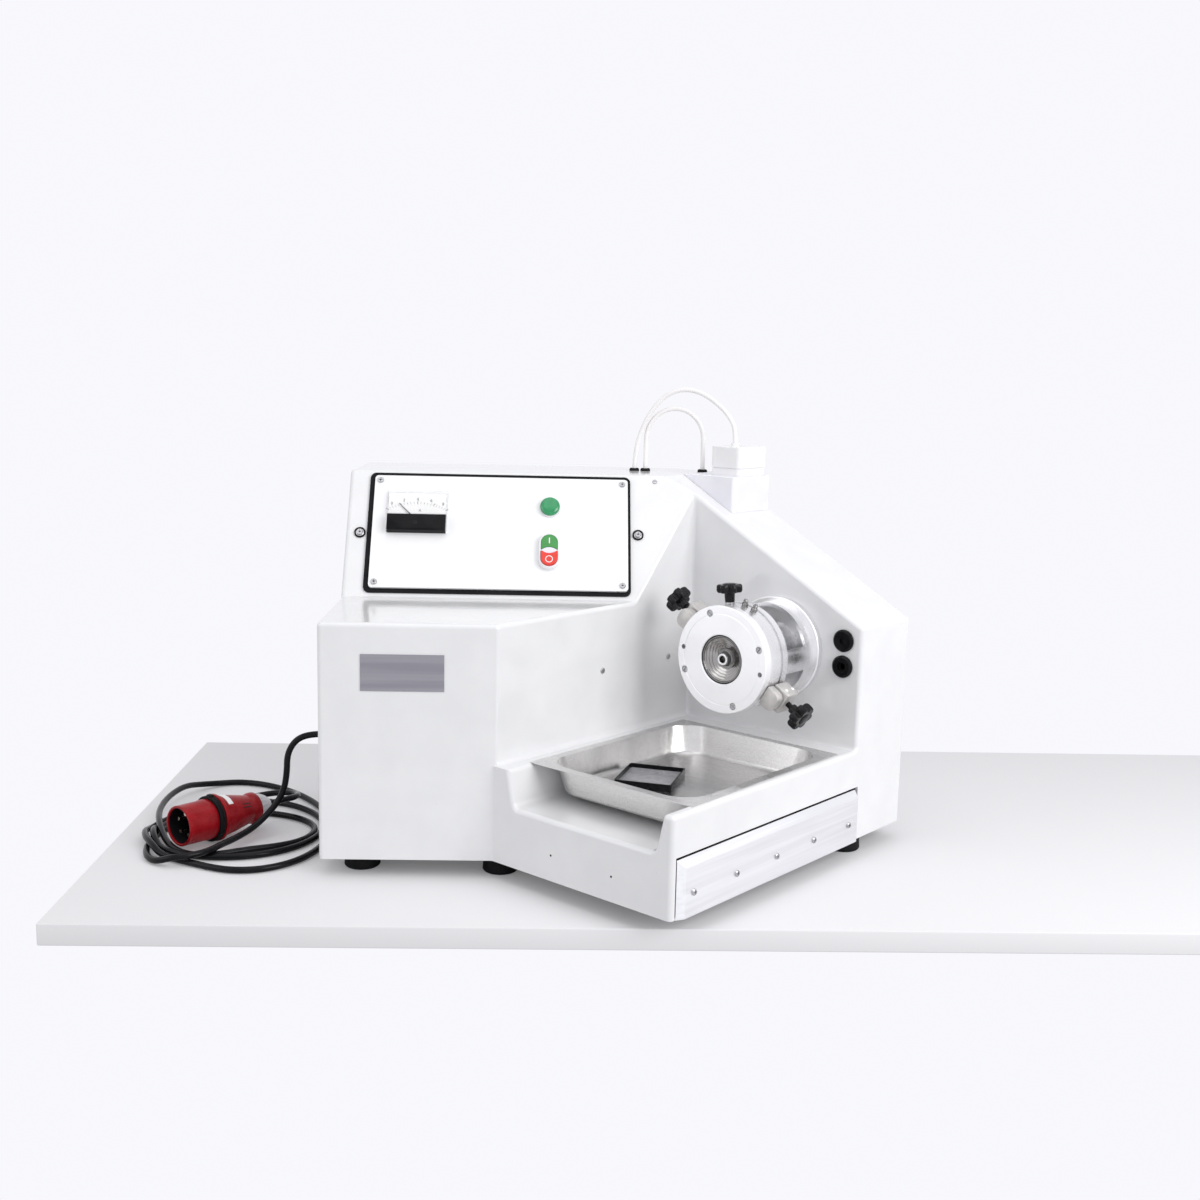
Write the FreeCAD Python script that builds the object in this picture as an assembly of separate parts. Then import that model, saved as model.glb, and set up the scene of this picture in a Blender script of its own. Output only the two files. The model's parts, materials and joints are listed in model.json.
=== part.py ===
import FreeCAD, Part
import os
from math import acos, atan2, cos, degrees, hypot, pi, radians, sin, tan

V = FreeCAD.Vector

# Laboratory bead mill. The housing is modelled from its front left corner: X runs along the
# front face, Y to the back, Z up from the table. At the end everything is moved so that the
# origin is the bottom centre of the machine's box, without the mains lead.

# Housing
front_width = 229.6      # front face, from its left corner to the corner with the tray side
body_depth = 482.7
mill_turn = 47.0         # the mill side is turned by this about the vertical
tray_length = 403.0      # from the front of the tray to the mill wall
tray_width = 293.0
tray_lip = 3.0           # the tray's front stands this far before the corner
mill_depth = 129.0       # mill wall to the back of the mill side
base_z = 25.0            # underside of the housing
deck_z = 153.0
ledge_z = 338.0
top_z = 509.3
panel_setback = 202.7    # ledge depth in front of the sloping control face
panel_tilt = 58.1
roof_slope = 29.0
wall = 4.0
edge_radius = 6.0

# Well under the drip pan
well_centre = 151.0
well_top_width = 253.0
well_floor_width = 231.0
well_floor_z = 104.0
well_back = 358.0
well_radius = 9.0

# Base
base_sheet = 5.0
base_gap = 0.4
foot_radius = 24.0
foot_inset = 50.0        # from the left side and the front
front_foot = (5.4, 36.0)     # from the corner with the tray side
right_foot = (32.7, 29.6)    # in from the right flank, and behind the mill wall
rear_foot = (455.0, 52.7)    # from the left side, and from the back

# Side cover, on the right flank of the tray base
cover_start = 9.0
cover_past_wall = 4.0    # the cover ends this far behind the mill wall
cover_low = 23.5
cover_high = 97.0
cover_sheet = 7.5
cover_proud = 4.0
cover_bevel = (6.0, 11.0)
cover_gap = 4.0
cover_screw_start = 36.0
cover_screw_end = 23.0   # last screw to the cover's far end
cover_screw_count = 5
cover_screw_z = 53.0
cover_screw_head = 4.2
wall_screw_insets = (198.0, 51.5)    # from the inner corner, along the tray
wall_screw_z = 248.5
wall_screw_head = 4.0
slope_screw_head = 3.4
screw_bite = 3.5         # how deep the small screws go into the wall
shank_share = 0.5        # a screw's shank to its head

# Control panel, in the sloping face's own plane: X along the ledge, Y up the slope
panel_x = (38.0, 405.5)
panel_y = (12.7, 189.7)
gasket_x = (30.5, 409.5)
gasket_y = (6.5, 196.0)
gasket_frame = 15.0
gasket_sheet = 3.0
panel_sheet = 4.0
panel_screw_inset = 8.0
panel_screw_radius = 4.4
fastener_places = ((20.4, 100.0), (420.4, 103.5))
fastener_shank = 3.0
slope_screw = (446.0, 191.0)
screw_clear = 0.3        # round the shank of each screw that goes through a sheet

meter_size = (88.0, 64.5)
meter_corner = (57.5, 97.7)
meter_depth = 12.0
meter_sill = 26.0        # height of the dark lower cover
meter_barrel = 28.0
needle_length = 37.0
needle_rest = 135.0      # the pointer's angle from the panel's X at zero current
lamp_centre = (292.5, 142.0)
lamp_radius = 14.75
twin_centre = (292.5, 70.5)
twin_size = (30.0, 55.0)
twin_depth = 9.0
twin_rim = 2.8
control_bore = 11.2
button_gap = 0.35
button_travel = 3.0

# Plate on the front face
plate_x = (55.0, 162.0)
plate_z = (250.0, 298.0)
plate_sheet = 1.0

# Mill axis on the mill wall: distance from the inner corner, and height
axis_offset = 157.5
axis_z = 279.4
flange_radius = 73.0
flange_depth = 10.0
spigot_radius = 58.0
lantern_radius = 66.0
lantern_wall = 5.0
window_start = 30.0
window_end = 84.0
window_angle = 91.0
window_centre = 57.5
window_count = 3
chamber_radius = 73.5
rear_ring_start = 86.0
rear_ring_end = 97.0
groove_radius = 70.0
cylinder_start = 102.0
cover_plate_start = 125.0
chamber_front = 137.0
chamber_bore = 46.0
jacket_radii = (53.0, 65.0)
inlet_bore = 33.5
inlet_radius = 32.0
nozzle_radius = 9.0
nozzle_bore = 4.6
nozzle_front = 134.0
cover_screw_radius = 64.5
cover_screw_head_radius = 4.6
cover_screw_seat = 3.5   # depth of the screw's seat in the cover
cover_screw_slot_turn = 40.0
jack_hole_radius = 3.4
cover_screw_angles = (109.0, 20.0, -70.0, 200.0)
jack_hole_angles = (172.0, -9.5)

# Shaft, bearings and belt drive, along the same axis; negative is inside the housing
shaft_radius = 12.0
shaft_gap = 0.05
shaft_front = 119.0
shaft_back = -116.0
disc_radius = 38.0
disc_places = (99.5, 110.5)
disc_sheet = 5.5
bearing_radius = 26.0
bearing_width = 15.0
bearing_places = (-76.0, -38.0)
bearing_body_radius = 42.0
bearing_flange_radius = 78.0
seal_radius = 22.0
belt_start = -112.0
belt_width = 16.0
belt_thickness = 5.0
belt_gap = 0.3
pulley_lip = 2.0
shaft_pulley_radius = 34.0
motor_pulley_radius = 45.0
motor_offset = (-252.5, -159.4)   # motor axis from the mill axis: across, and up
motor_radius = 76.0
motor_back = -78.0
motor_front = 150.0
motor_fins = 20

# Clamps, filling plug and water fittings round the grinding chamber
clamp_angles = (148.0, -32.0)
clamp_width = 33.0
clamp_travel = 14.0
star_radius = 16.0
star_lobes = 6
star_height = 13.0
bolt_radius = 4.0
filler_angle = 95.0
filler_place = 112.0
nipple_angles = (78.0, 66.0)
coupling_inset = 29.0    # from the mill wall's outer edge
coupling_heights = (303.0, 267.0)
coupling_radius = 15.5

# Drip pan and strainer, in the tray's own plane: across from the corner wall, then away
pan_size = (265.0, 325.0)
pan_corner = (20.0, 42.0)
pan_depth = 40.0
pan_flange = 12.0
pan_sheet = 1.0
pan_corner_radius = 42.0
pan_gap = 0.3
pan_travel = 250.0
strainer_size = (78.0, 86.0)
strainer_centre = (105.0, 193.0)
strainer_turn = 25.0
strainer_height = 20.0

# Sealing liquid bottle on the roof, down the slope from its crest, then away
holder_x = (0.4, 92.4)
holder_y = (26.0, 121.0)
holder_wall = 3.0
holder_proud = 1.4       # the holder's rim over the roof where it starts
bottle_x = (34.4, 86.4)
bottle_y = (48.0, 116.0)
bottle_proud = 12.7      # bottle's shoulder over the roof
bottle_clear = 1.0       # bottle to roof
bottle_gap = 0.3         # bottle to holder
lid_height = 31.0
hose_radius = 3.5
grommet_radius = 7.5
hose_setback = 77.7      # from the back of the housing
hose_rows = (421.0, 438.0, 526.0)    # long hose, short hose and its far end, from the left
long_hose_end = (60.4, 72.0)

# Mains lead
lead_radius = 4.5
gland_y = 170.0
gland_z = 147.0
gland_length = 20.0
coil_centre = (-141.0, 202.0)
coil_half = (212.0, 132.0)
coil_turn = 104.0
coil_height = 22.0
coil_hole_centre = (-150.0, 170.0)
coil_hole_half = (95.0, 66.0)
coil_bend = (-88.0, 226.0, 26.0, 38.0)    # last turn, rising to the plug: place, radius, height
plug_face = V(-205.5, 94.8, 35.0)
plug_tail = V(-108.1, 210.7, 31.0)

panel_run = (top_z - ledge_z) / tan(radians(panel_tilt))
away = V(cos(radians(mill_turn)), sin(radians(mill_turn)), 0)
across = V(sin(radians(mill_turn)), -cos(radians(mill_turn)), 0)
up = V(0, 0, 1)
corner = V(front_width, 0, 0)
inner_corner = corner + away * tray_length
inner_top_z = ledge_z + (inner_corner.y - panel_setback) * tan(radians(panel_tilt))
crest_offset = (top_z - inner_top_z) / tan(radians(roof_slope))
crest = inner_corner - across * crest_offset

cover_length = tray_length + cover_past_wall - cover_start
wall_screw_places = [tray_length - inset for inset in wall_screw_insets]
coupling_offset = tray_width - coupling_inset
bottle_top = top_z + bottle_proud
hose_y = body_depth - hose_setback
long_hose_start = (hose_rows[0], hose_y)
short_hose_start = (hose_rows[1], hose_y)
short_hose_end = (hose_rows[2], hose_y - 3)


def frame(origin, x_dir, y_dir, z_dir):
    return FreeCAD.Matrix(
        x_dir.x, y_dir.x, z_dir.x, origin.x,
        x_dir.y, y_dir.y, z_dir.y, origin.y,
        x_dir.z, y_dir.z, z_dir.z, origin.z,
        0, 0, 0, 1)


slope_up = V(0, cos(radians(panel_tilt)), sin(radians(panel_tilt)))
slope_out = V(0, -sin(radians(panel_tilt)), cos(radians(panel_tilt)))
panel_frame = frame(V(0, panel_setback, ledge_z), V(1, 0, 0), slope_up, slope_out)
tray_frame = frame(corner, across, away, up)
mill_frame = frame(inner_corner + across * axis_offset + up * axis_z, across, up, away * -1)
roof_frame = frame(crest, across, away, up)


def on_panel(shape):
    return shape.transformed(panel_frame, copy=True)


def on_tray(shape):
    return shape.transformed(tray_frame, copy=True)


def on_mill(shape):
    return shape.transformed(mill_frame, copy=True)


def on_roof(shape):
    return shape.transformed(roof_frame, copy=True)


def box(x0, y0, z0, x1, y1, z1):
    return Part.makeBox(x1 - x0, y1 - y0, z1 - z0, V(x0, y0, z0))


def rod(radius, z0, z1, x=0, y=0):
    return Part.makeCylinder(radius, z1 - z0, V(x, y, z0))


def ring(outer, inner, z0, z1, x=0, y=0):
    return rod(outer, z0, z1, x, y).cut(rod(inner, z0 - 1, z1 + 1, x, y))


def polar(radius, angle):
    return radius * cos(radians(angle)), radius * sin(radians(angle))


def polygon_face(points):
    return Part.Face(Part.makePolygon(points + points[:1]))


def prism(points, z0, z1):
    return polygon_face([V(x, y, z0) for x, y in points]).extrude(V(0, 0, z1 - z0))


def bar(points, y0, y1):
    """A section in X and Z, drawn along Y."""
    return polygon_face([V(x, y0, z) for x, z in points]).extrude(V(0, y1 - y0, 0))


def turned(points):
    """A section in radius and Z, turned about Z."""
    return polygon_face([V(r, 0, z) for r, z in points]).revolve(V(0, 0, 0), up, 360)


def upright(edge):
    tangent = edge.tangentAt(edge.FirstParameter)
    return abs(abs(tangent.z) - 1) < 1e-6


def rounded_slab(x0, y0, z0, x1, y1, z1, radius):
    block = box(x0, y0, z0, x1, y1, z1)
    return block.makeFillet(radius, [e for e in block.Edges if upright(e)])


def obround(centre, width, height, z0, z1):
    x, y = centre
    half = height / 2 - width / 2
    straight = box(x - width / 2, y - half, z0, x + width / 2, y + half, z1)
    ends = [rod(width / 2, z0, z1, x, y + side * half) for side in (-1, 1)]
    return straight.multiFuse(ends).removeSplitter()


def joined(shapes):
    return shapes[0].multiFuse(list(shapes[1:])).removeSplitter()


def group(shapes):
    return Part.makeCompound(list(shapes))


def screw(radius, head, length):
    """A pan head screw with a cross recess, standing on Z = 0 and pointing down."""
    top = Part.makeCylinder(radius, head)
    top = top.makeChamfer(head * 0.35, [e for e in top.Edges if e.BoundBox.ZMin > head / 2])
    arm = radius * 0.6
    slot = radius * 0.14
    cross = [box(-arm, -slot, head / 2, arm, slot, head + 1),
             box(-slot, -arm, head / 2, slot, arm, head + 1)]
    return top.cut(cross[0].fuse(cross[1])).fuse(rod(radius * shank_share, -length, 0))


def slotted_screw(radius, head, length):
    top = Part.makeCylinder(radius, head)
    top = top.makeChamfer(head * 0.2, [e for e in top.Edges if e.BoundBox.ZMin > head / 2])
    slot = box(-radius - 1, -radius * 0.16, head * 0.55, radius + 1, radius * 0.16, head + 1)
    return top.cut(slot).fuse(rod(radius * shank_share, -length, 0))


def turn_to(shape, direction, place):
    rotation = FreeCAD.Rotation(up, direction)
    return shape.transformed(FreeCAD.Placement(place, rotation).toMatrix(), copy=True)


def shifted(shape, x, y, z):
    return shape.translated(V(x, y, z))


def offset_polygon(points, inset):
    """The same outline with each side moved inwards, for corners given anticlockwise."""
    sides = []
    for start, end in zip(points, points[1:] + points[:1]):
        length = hypot(end[0] - start[0], end[1] - start[1])
        nx, ny = -(end[1] - start[1]) / length, (end[0] - start[0]) / length
        sides.append((nx, ny, nx * start[0] + ny * start[1] + inset))
    moved = []
    for (a, b, c), (d, e, f) in zip(sides[-1:] + sides[:-1], sides):
        det = a * e - b * d
        moved.append(((c * e - b * f) / det, (a * f - c * d) / det))
    return moved


def footprint(inset):
    lip = corner - away * tray_lip
    front_x = lip.x + lip.y / across.y * -across.x
    front_corner = lip + across * tray_width
    back_corner = front_corner + away * (tray_length + mill_depth + tray_lip)
    back_run = (body_depth - back_corner.y) / -across.y
    rear = back_corner - across * back_run
    outline = [(0, 0), (front_x, 0), (front_corner.x, front_corner.y),
               (back_corner.x, back_corner.y), (rear.x, body_depth), (0, body_depth)]
    return offset_polygon(outline, inset) if inset else outline


def well(grow, floor):
    """The open channel that the pan hangs in, drawn through the front of the tray."""
    top = deck_z + 1
    lean = (well_top_width - well_floor_width) / 2 / (deck_z - well_floor_z)
    low = well_floor_width / 2 + grow - lean * (well_floor_z - floor)
    high = low + lean * (top - floor)
    shape = bar([(well_centre - low, floor), (well_centre + low, floor),
                 (well_centre + high, top), (well_centre - high, top)],
                -tray_lip - 40, well_back + grow)
    sills = [e for e in shape.Edges
             if e.BoundBox.ZMax < floor + 0.1 and e.BoundBox.YLength > tray_length / 2]
    return shape.makeFillet(well_radius + grow / 2, sills)


def housing_form(inset):
    """The moulded housing as one block, or with an inset the space inside it."""
    low = base_z - 10 if inset else base_z
    block = prism(footprint(inset), low, top_z - inset)
    fall = tan(radians(roof_slope))
    roof_drop = inset / cos(radians(roof_slope))
    far = tray_width + 50

    def roof_line(x):
        return top_z - roof_drop - (x + crest_offset) * fall

    near = -crest_offset - 60
    above_roof = bar([(near, roof_line(near)), (far, roof_line(far)),
                      (far, top_z + 150), (near, top_z + 150)], -300, 700)
    block = block.cut(on_tray(above_roof))

    lean = panel_run / (top_z - ledge_z)
    back = inset / sin(radians(panel_tilt))

    def slope_y(z):
        return panel_setback + back + (z - ledge_z) * lean

    sill = ledge_z - inset
    before_panel = polygon_face([V(-50, -400, sill), V(-50, slope_y(sill), sill),
                                 V(-50, slope_y(top_z + 90), top_z + 90),
                                 V(-50, -400, top_z + 90)]).extrude(V(1000, 0, 0))
    before_wall = on_tray(box(-900, -700, 0, far, tray_length + inset, top_z + 200))
    block = block.cut(before_panel.common(before_wall))
    over_tray = box(-inset, -300, deck_z - inset, far, tray_length + inset, top_z + 200)
    block = block.cut(on_tray(over_tray))
    block = block.cut(box(-50, -400, deck_z - inset, front_width, inset, top_z + 200))
    return block.cut(on_tray(well(inset, well_floor_z - inset)))


def is_sharp(edge, solid):
    """Two faces meet at an angle along this edge, and it isn't on the housing's open underside."""
    if edge.BoundBox.ZMax < base_z + 1:
        return False
    middle = edge.valueAt((edge.FirstParameter + edge.LastParameter) / 2)
    normals = []
    for face in solid.ancestorsOfType(edge, Part.Face):
        normals.append(face.normalAt(*face.Surface.parameter(middle)))
    return normals[0].getAngle(normals[1]) > 0.1


def ends_at(edge, points):
    return any((vertex.Point - point).Length < 0.1 for vertex in edge.Vertexes for point in points)


def round_off(block):
    """Softens the moulding's corners, first where its sloping faces run together."""
    ledge_end = on_axis_wall(panel_setback, ledge_z)
    gusset_top = V(inner_corner.x, inner_corner.y, inner_top_z)
    knots = [ledge_end, gusset_top]
    first = [e for e in block.Edges if ends_at(e, knots)]
    block = block.makeFillet(edge_radius, first)
    mouth = corner + up * deck_z
    rest = [e for e in block.Edges if is_sharp(e, block)
            and (e.CenterOfMass - mouth).Length > 4 * edge_radius]
    return block.makeFillet(edge_radius, rest)


def on_axis_wall(y, z):
    """The point of the wall beside the tray at this distance from the front."""
    return V(front_width + y * away.x / away.y, y, z)


def make_hood():
    outer = round_off(housing_form(0).removeSplitter())
    shell = outer.cut(housing_form(wall))
    cuts = [
        on_panel(box(gasket_x[0] + gasket_frame, gasket_y[0] + gasket_frame, -2 * wall,
                     gasket_x[1] - gasket_frame, gasket_y[1] - gasket_frame, wall)),
        on_mill(rod(spigot_radius + 0.3, -2 * wall, wall)),
        on_tray(box(tray_width - 3 * wall, cover_start - cover_gap, base_z - 1, tray_width + 5,
                    cover_start + cover_length + cover_gap, cover_high + cover_gap)),
        turn_to(rod(lead_radius + 2.2, -10, 10), V(-1, 0, 0), V(0, gland_y, gland_z)),
    ]
    for height in coupling_heights:
        cuts.append(on_mill(rod(coupling_radius * 0.6, -2 * wall, wall,
                                coupling_offset - axis_offset, height - axis_z)))
    for place in (long_hose_start, short_hose_start, short_hose_end):
        cuts.append(rod(grommet_radius * 0.65, top_z - 2 * wall, top_z + wall, *place))
    for y in wall_screw_places:
        hole = turn_to(shank_hole(wall_screw_head), V(1, 0, 0), V(0, y, wall_screw_z))
        cuts.append(on_tray(hole))
    cuts.append(on_panel(shifted(shank_hole(slope_screw_head), slope_screw[0], slope_screw[1], 0)))
    for x, y in fastener_places:
        cuts.append(on_panel(rod(fastener_shank + screw_clear, -2 * wall, 1, x, y)))
    return shell.cut(group(cuts))


cover_screw_run = cover_start + cover_length - cover_screw_end - cover_screw_start
cover_screw_rows = [cover_screw_start + i * cover_screw_run / (cover_screw_count - 1)
                    for i in range(cover_screw_count)]


def shank_hole(head):
    """The hole that a screw with this head radius goes through."""
    return rod(head * shank_share + screw_clear, -wall - 1, 1)


def make_base_frame():
    plate = prism(footprint(wall + base_gap), base_z, base_z + base_sheet)
    rail_x = tray_width + cover_proud - cover_sheet
    rail = box(rail_x - 4, cover_start + 6, base_z, rail_x,
               cover_start + cover_length - 6, cover_high - 8)
    foot_bar = box(rail_x - 24, cover_start + 6, base_z, rail_x,
                   cover_start + cover_length - 6, base_z + base_sheet)
    frame_shape = joined([plate, on_tray(rail), on_tray(foot_bar)])
    holes = [on_tray(cover_screw_hole(y)) for y in cover_screw_rows]
    return frame_shape.cut(group(holes))


def cover_screw_hole(y):
    radius = cover_screw_head * shank_share + screw_clear
    return turn_to(rod(radius, -20, 20), V(1, 0, 0), V(tray_width, y, cover_screw_z))


def make_side_cover():
    out = tray_width + cover_proud
    inner = out - cover_sheet
    run, rise = cover_bevel
    section = [(inner, cover_low), (out, cover_low), (out, cover_high - rise),
               (out - run, cover_high), (inner, cover_high)]
    plate = bar(section, cover_start, cover_start + cover_length)
    wedge = prism([(out - run, cover_start - 1), (out + 1, cover_start - 1),
                   (out + 1, cover_start + rise * 1.15), (out, cover_start + rise)],
                  cover_low - 1, cover_high + 1)
    plate = plate.cut(wedge)
    return on_tray(plate.cut(group([cover_screw_hole(y) for y in cover_screw_rows])))


def make_housing_screws():
    shapes = []
    out = tray_width + cover_proud
    long_screw = screw(cover_screw_head, 2.2, cover_sheet + 1.5)
    for y in cover_screw_rows:
        shapes.append(on_tray(turn_to(long_screw, V(1, 0, 0), V(out, y, cover_screw_z))))
    wall_screw = screw(wall_screw_head, 1.8, screw_bite)
    for y in wall_screw_places:
        shapes.append(on_tray(turn_to(wall_screw, V(1, 0, 0), V(0, y, wall_screw_z))))
    slope = screw(slope_screw_head, 1.6, screw_bite)
    shapes.append(on_panel(shifted(slope, slope_screw[0], slope_screw[1], 0)))
    return group(shapes)


def tray_place(x, y):
    place = corner + across * x + away * y
    return place.x, place.y


foot_places = (
    (foot_inset, foot_inset),
    (front_width + front_foot[0], front_foot[1]),
    tray_place(tray_width - right_foot[0], tray_length + right_foot[1]),
    (foot_inset, body_depth - rear_foot[1]),
    (rear_foot[0], body_depth - rear_foot[1]),
)


def make_feet():
    foot = turned([(0, 0), (foot_radius - 2.5, 0), (foot_radius, 2.5),
                   (foot_radius - 1.5, base_z), (0, base_z)])
    return group([shifted(foot, x, y, 0) for x, y in foot_places])


# Control panel

def make_panel_gasket():
    outer = rounded_slab(gasket_x[0], gasket_y[0], 0, gasket_x[1], gasket_y[1], gasket_sheet, 9)
    inner = box(gasket_x[0] + gasket_frame, gasket_y[0] + gasket_frame, -1,
                gasket_x[1] - gasket_frame, gasket_y[1] - gasket_frame, gasket_sheet + 1)
    return on_panel(outer.cut(group([inner] + panel_screw_holes())))


def panel_screw_places():
    inset = panel_screw_inset
    return [(x, y) for x in (panel_x[0] + inset, panel_x[1] - inset)
            for y in (panel_y[0] + inset, panel_y[1] - inset)]


def panel_screw_holes():
    radius = panel_screw_radius * shank_share + screw_clear
    return [rod(radius, -1, 20, x, y) for x, y in panel_screw_places()]


panel_face = gasket_sheet + panel_sheet
meter_centre = (meter_corner[0] + meter_size[0] / 2, meter_corner[1] + meter_size[1] / 2)


def make_panel_plate():
    plate = rounded_slab(panel_x[0], panel_y[0], gasket_sheet, panel_x[1], panel_y[1],
                         panel_face, 5)
    holes = [rod(meter_barrel + 0.4, 0, 20, *meter_centre),
             rod(control_bore, 0, 20, *lamp_centre),
             rod(control_bore, 0, 20, *twin_centre)]
    return on_panel(plate.cut(group(holes + panel_screw_holes())))


def make_panel_screws():
    shapes = [shifted(screw(panel_screw_radius, 2.6, panel_face - 0.5), x, y, panel_face)
              for x, y in panel_screw_places()]
    return on_panel(group(shapes))


def make_side_fasteners():
    washer = turned([(0, 0), (6.8, 0), (6.8, 1.2), (5.2, 2.4), (0, 2.4)])
    fastener = washer.fuse(shifted(screw(4.6, 2.4, 2.0), 0, 0, 2.4))
    fastener = fastener.fuse(rod(fastener_shank, -wall, 0))
    return on_panel(group([shifted(fastener, x, y, 0) for x, y in fastener_places]))


def make_meter_case():
    x0, y0 = meter_corner
    x1, y1 = x0 + meter_size[0], y0 + meter_size[1]
    back = rounded_slab(x0, y0, panel_face, x1, y1, panel_face + 3, 1.5)
    sill = rounded_slab(x0, y0, panel_face, x1, y0 + meter_sill,
                        panel_face + meter_depth, 1.5)
    barrel = rod(meter_barrel, -24, panel_face + 1, *meter_centre)
    space = box(x0 + 3, y0 + 8, panel_face + 4, x1 - 3, y0 + meter_sill + 1, panel_face + 8)
    return on_panel(joined([back, sill, barrel]).cut(space))


def make_meter_dial():
    x0, y0 = meter_corner
    sheet = box(x0 + 3, y0 + meter_sill + 0.2, panel_face + 3,
                x0 + meter_size[0] - 3, y0 + meter_size[1] - 3, panel_face + 3.8)
    return on_panel(sheet)


def make_meter_window():
    x0, y0 = meter_corner
    x1, y1 = x0 + meter_size[0], y0 + meter_size[1]
    outer = box(x0 + 0.3, y0 + meter_sill, panel_face + 3, x1 - 0.3, y1 - 0.3,
                panel_face + meter_depth)
    inner = box(x0 + 2.3, y0 + meter_sill - 1, panel_face + 2, x1 - 2.3, y1 - 2.3,
                panel_face + meter_depth - 2)
    return on_panel(outer.cut(inner))


needle_pivot = (meter_centre[0], meter_corner[1] + meter_sill - 8)
needle_z = panel_face + 5.5


def make_meter_needle():
    hub = rod(2.2, needle_z - 0.5, needle_z + 1.0)
    blade = prism([(-5, -0.9), (needle_length, -0.3), (needle_length, 0.3), (-5, 0.9)],
                  needle_z, needle_z + 0.6)
    needle = hub.fuse(blade)
    needle.rotate(V(0, 0, 0), up, needle_rest)
    return on_panel(shifted(needle, needle_pivot[0], needle_pivot[1], 0))


def make_lamp():
    r = lamp_radius
    lens = turned([(0, 0), (r, 0), (r, 5.5), (r - 1.2, 7.6), (r - 4.5, 9.2), (0, 9.8)])
    body = rod(control_bore - 0.3, -34, 0)
    lamp = shifted(lens.fuse(body), lamp_centre[0], lamp_centre[1], panel_face)
    return on_panel(lamp)


def twin_opening(clear, z0, z1):
    width = twin_size[0] - 2 * twin_rim
    height = twin_size[1] - 2 * twin_rim
    return obround(twin_centre, width - 2 * clear, height - 2 * clear, z0, z1)


def twin_lens(grow, z0, z1):
    """The bulging window between the two caps: the overlap of two wide discs."""
    x, y = twin_centre
    reach = 16.0
    shift = reach - 5.0
    low = rod(reach + grow, z0, z1, x, y - shift)
    high = rod(reach + grow, z0, z1, x, y + shift)
    band = box(x - 20, y - 1.2 - grow, z0, x + 20, y + 1.2 + grow, z1)
    return low.common(high).fuse(band)


def make_button_bezel():
    top = panel_face + twin_depth
    rim = obround(twin_centre, twin_size[0], twin_size[1], panel_face, top)
    edges = [e for e in rim.Edges if e.BoundBox.ZMin > top - 0.1]
    rim = rim.makeChamfer(1.2, edges)
    rim = rim.cut(twin_opening(0, panel_face + 2, top + 1))
    return on_panel(rim.fuse(rod(control_bore - 0.3, 0, panel_face, *twin_centre)))


def make_button_window():
    z0, z1 = panel_face + 2, panel_face + twin_depth - 0.3
    return on_panel(twin_opening(0, z0, z1).common(twin_lens(0, z0, z1)))


def button_cap(side, proud):
    z0 = panel_face + 2 + button_travel + 0.5
    z1 = panel_face + twin_depth + proud
    x, y = twin_centre
    area = twin_opening(button_gap, z0, z1)
    keep = box(x - 30, min(y, y + side * 60), z0 - 1, x + 30, max(y, y + side * 60), z1 + 1)
    return on_panel(area.common(keep).cut(twin_lens(button_gap, z0 - 1, z1 + 1)))


def make_contact_blocks():
    blocks = [box(x - 15, y - 20, -40, x + 15, y + 20, -0.2)
              for x, y in (twin_centre,)]
    relay = box(120, 30, -75, 190, 95, -42)
    carrier = box(60, 24, -44, 330, 100, -42)
    feet = box(276, 60, -42, 309, 80, -40)
    return on_panel(joined([blocks[0], relay, carrier, feet]))


def make_name_plate():
    plate = box(plate_x[0], -plate_sheet, plate_z[0], plate_x[1], 0, plate_z[1])
    return plate


# Grinding unit

def make_drive_flange():
    section = [(41, -wall), (spigot_radius, -wall), (spigot_radius, 0), (flange_radius, 0),
               (flange_radius, flange_depth - 1.5), (flange_radius - 1.5, flange_depth),
               (41, flange_depth)]
    return on_mill(turned(section))


def make_lantern():
    inside = lantern_radius - lantern_wall
    section = [(inside, flange_depth), (lantern_radius, flange_depth),
               (lantern_radius, rear_ring_start), (chamber_radius, rear_ring_start),
               (chamber_radius, rear_ring_end), (55, rear_ring_end),
               (55, window_end), (inside, window_end - 4)]
    body = turned(section)
    windows = []
    for index in range(window_count):
        middle = window_centre + index * 360 / window_count
        pie = [(0, 0)]
        for share in (-0.5, -0.17, 0.17, 0.5):
            pie.append(polar(2 * lantern_radius, middle + share * window_angle))
        windows.append(prism(pie, window_start, window_end - 4))
    return on_mill(body.cut(group(windows)))


def make_seal_housing():
    section = [(seal_radius, -wall), (41, -wall), (41, flange_depth), (38, flange_depth),
               (30, 70), (34, 78), (34, rear_ring_start), (55, rear_ring_start),
               (55, rear_ring_end), (shaft_radius + 2, rear_ring_end),
               (shaft_radius + 2, rear_ring_start + 4), (seal_radius, rear_ring_start + 4)]
    return on_mill(turned(section))


def make_shaft_seal():
    bore = shaft_radius + shaft_gap
    section = [(bore, 58), (seal_radius, 58), (seal_radius, 88), (bore, 88)]
    return on_mill(turned(section))


def make_grinding_cylinder():
    jacket_in, jacket_out = jacket_radii
    section = [(chamber_bore, rear_ring_end), (groove_radius, rear_ring_end),
               (groove_radius, cylinder_start), (chamber_radius, cylinder_start),
               (chamber_radius, cover_plate_start), (jacket_out, cover_plate_start),
               (jacket_out, cylinder_start + 3), (jacket_in, cylinder_start + 3),
               (jacket_in, cover_plate_start), (chamber_bore, cover_plate_start)]
    body = turned(section)
    ports = [mill_radial(rod(4.5, jacket_out - 2, 90), filler_angle, filler_place)]
    ports += [mill_radial(rod(2.4, jacket_out - 2, 90), angle, filler_place - 4)
              for angle in nipple_angles]
    return on_mill(body.cut(group(ports)))


def mill_radial(shape, angle, place):
    """Stands a piece that is drawn along Z out from the mill axis."""
    x, y = polar(1, angle)
    return turn_to(shape, V(x, y, 0), V(0, 0, place))


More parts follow.
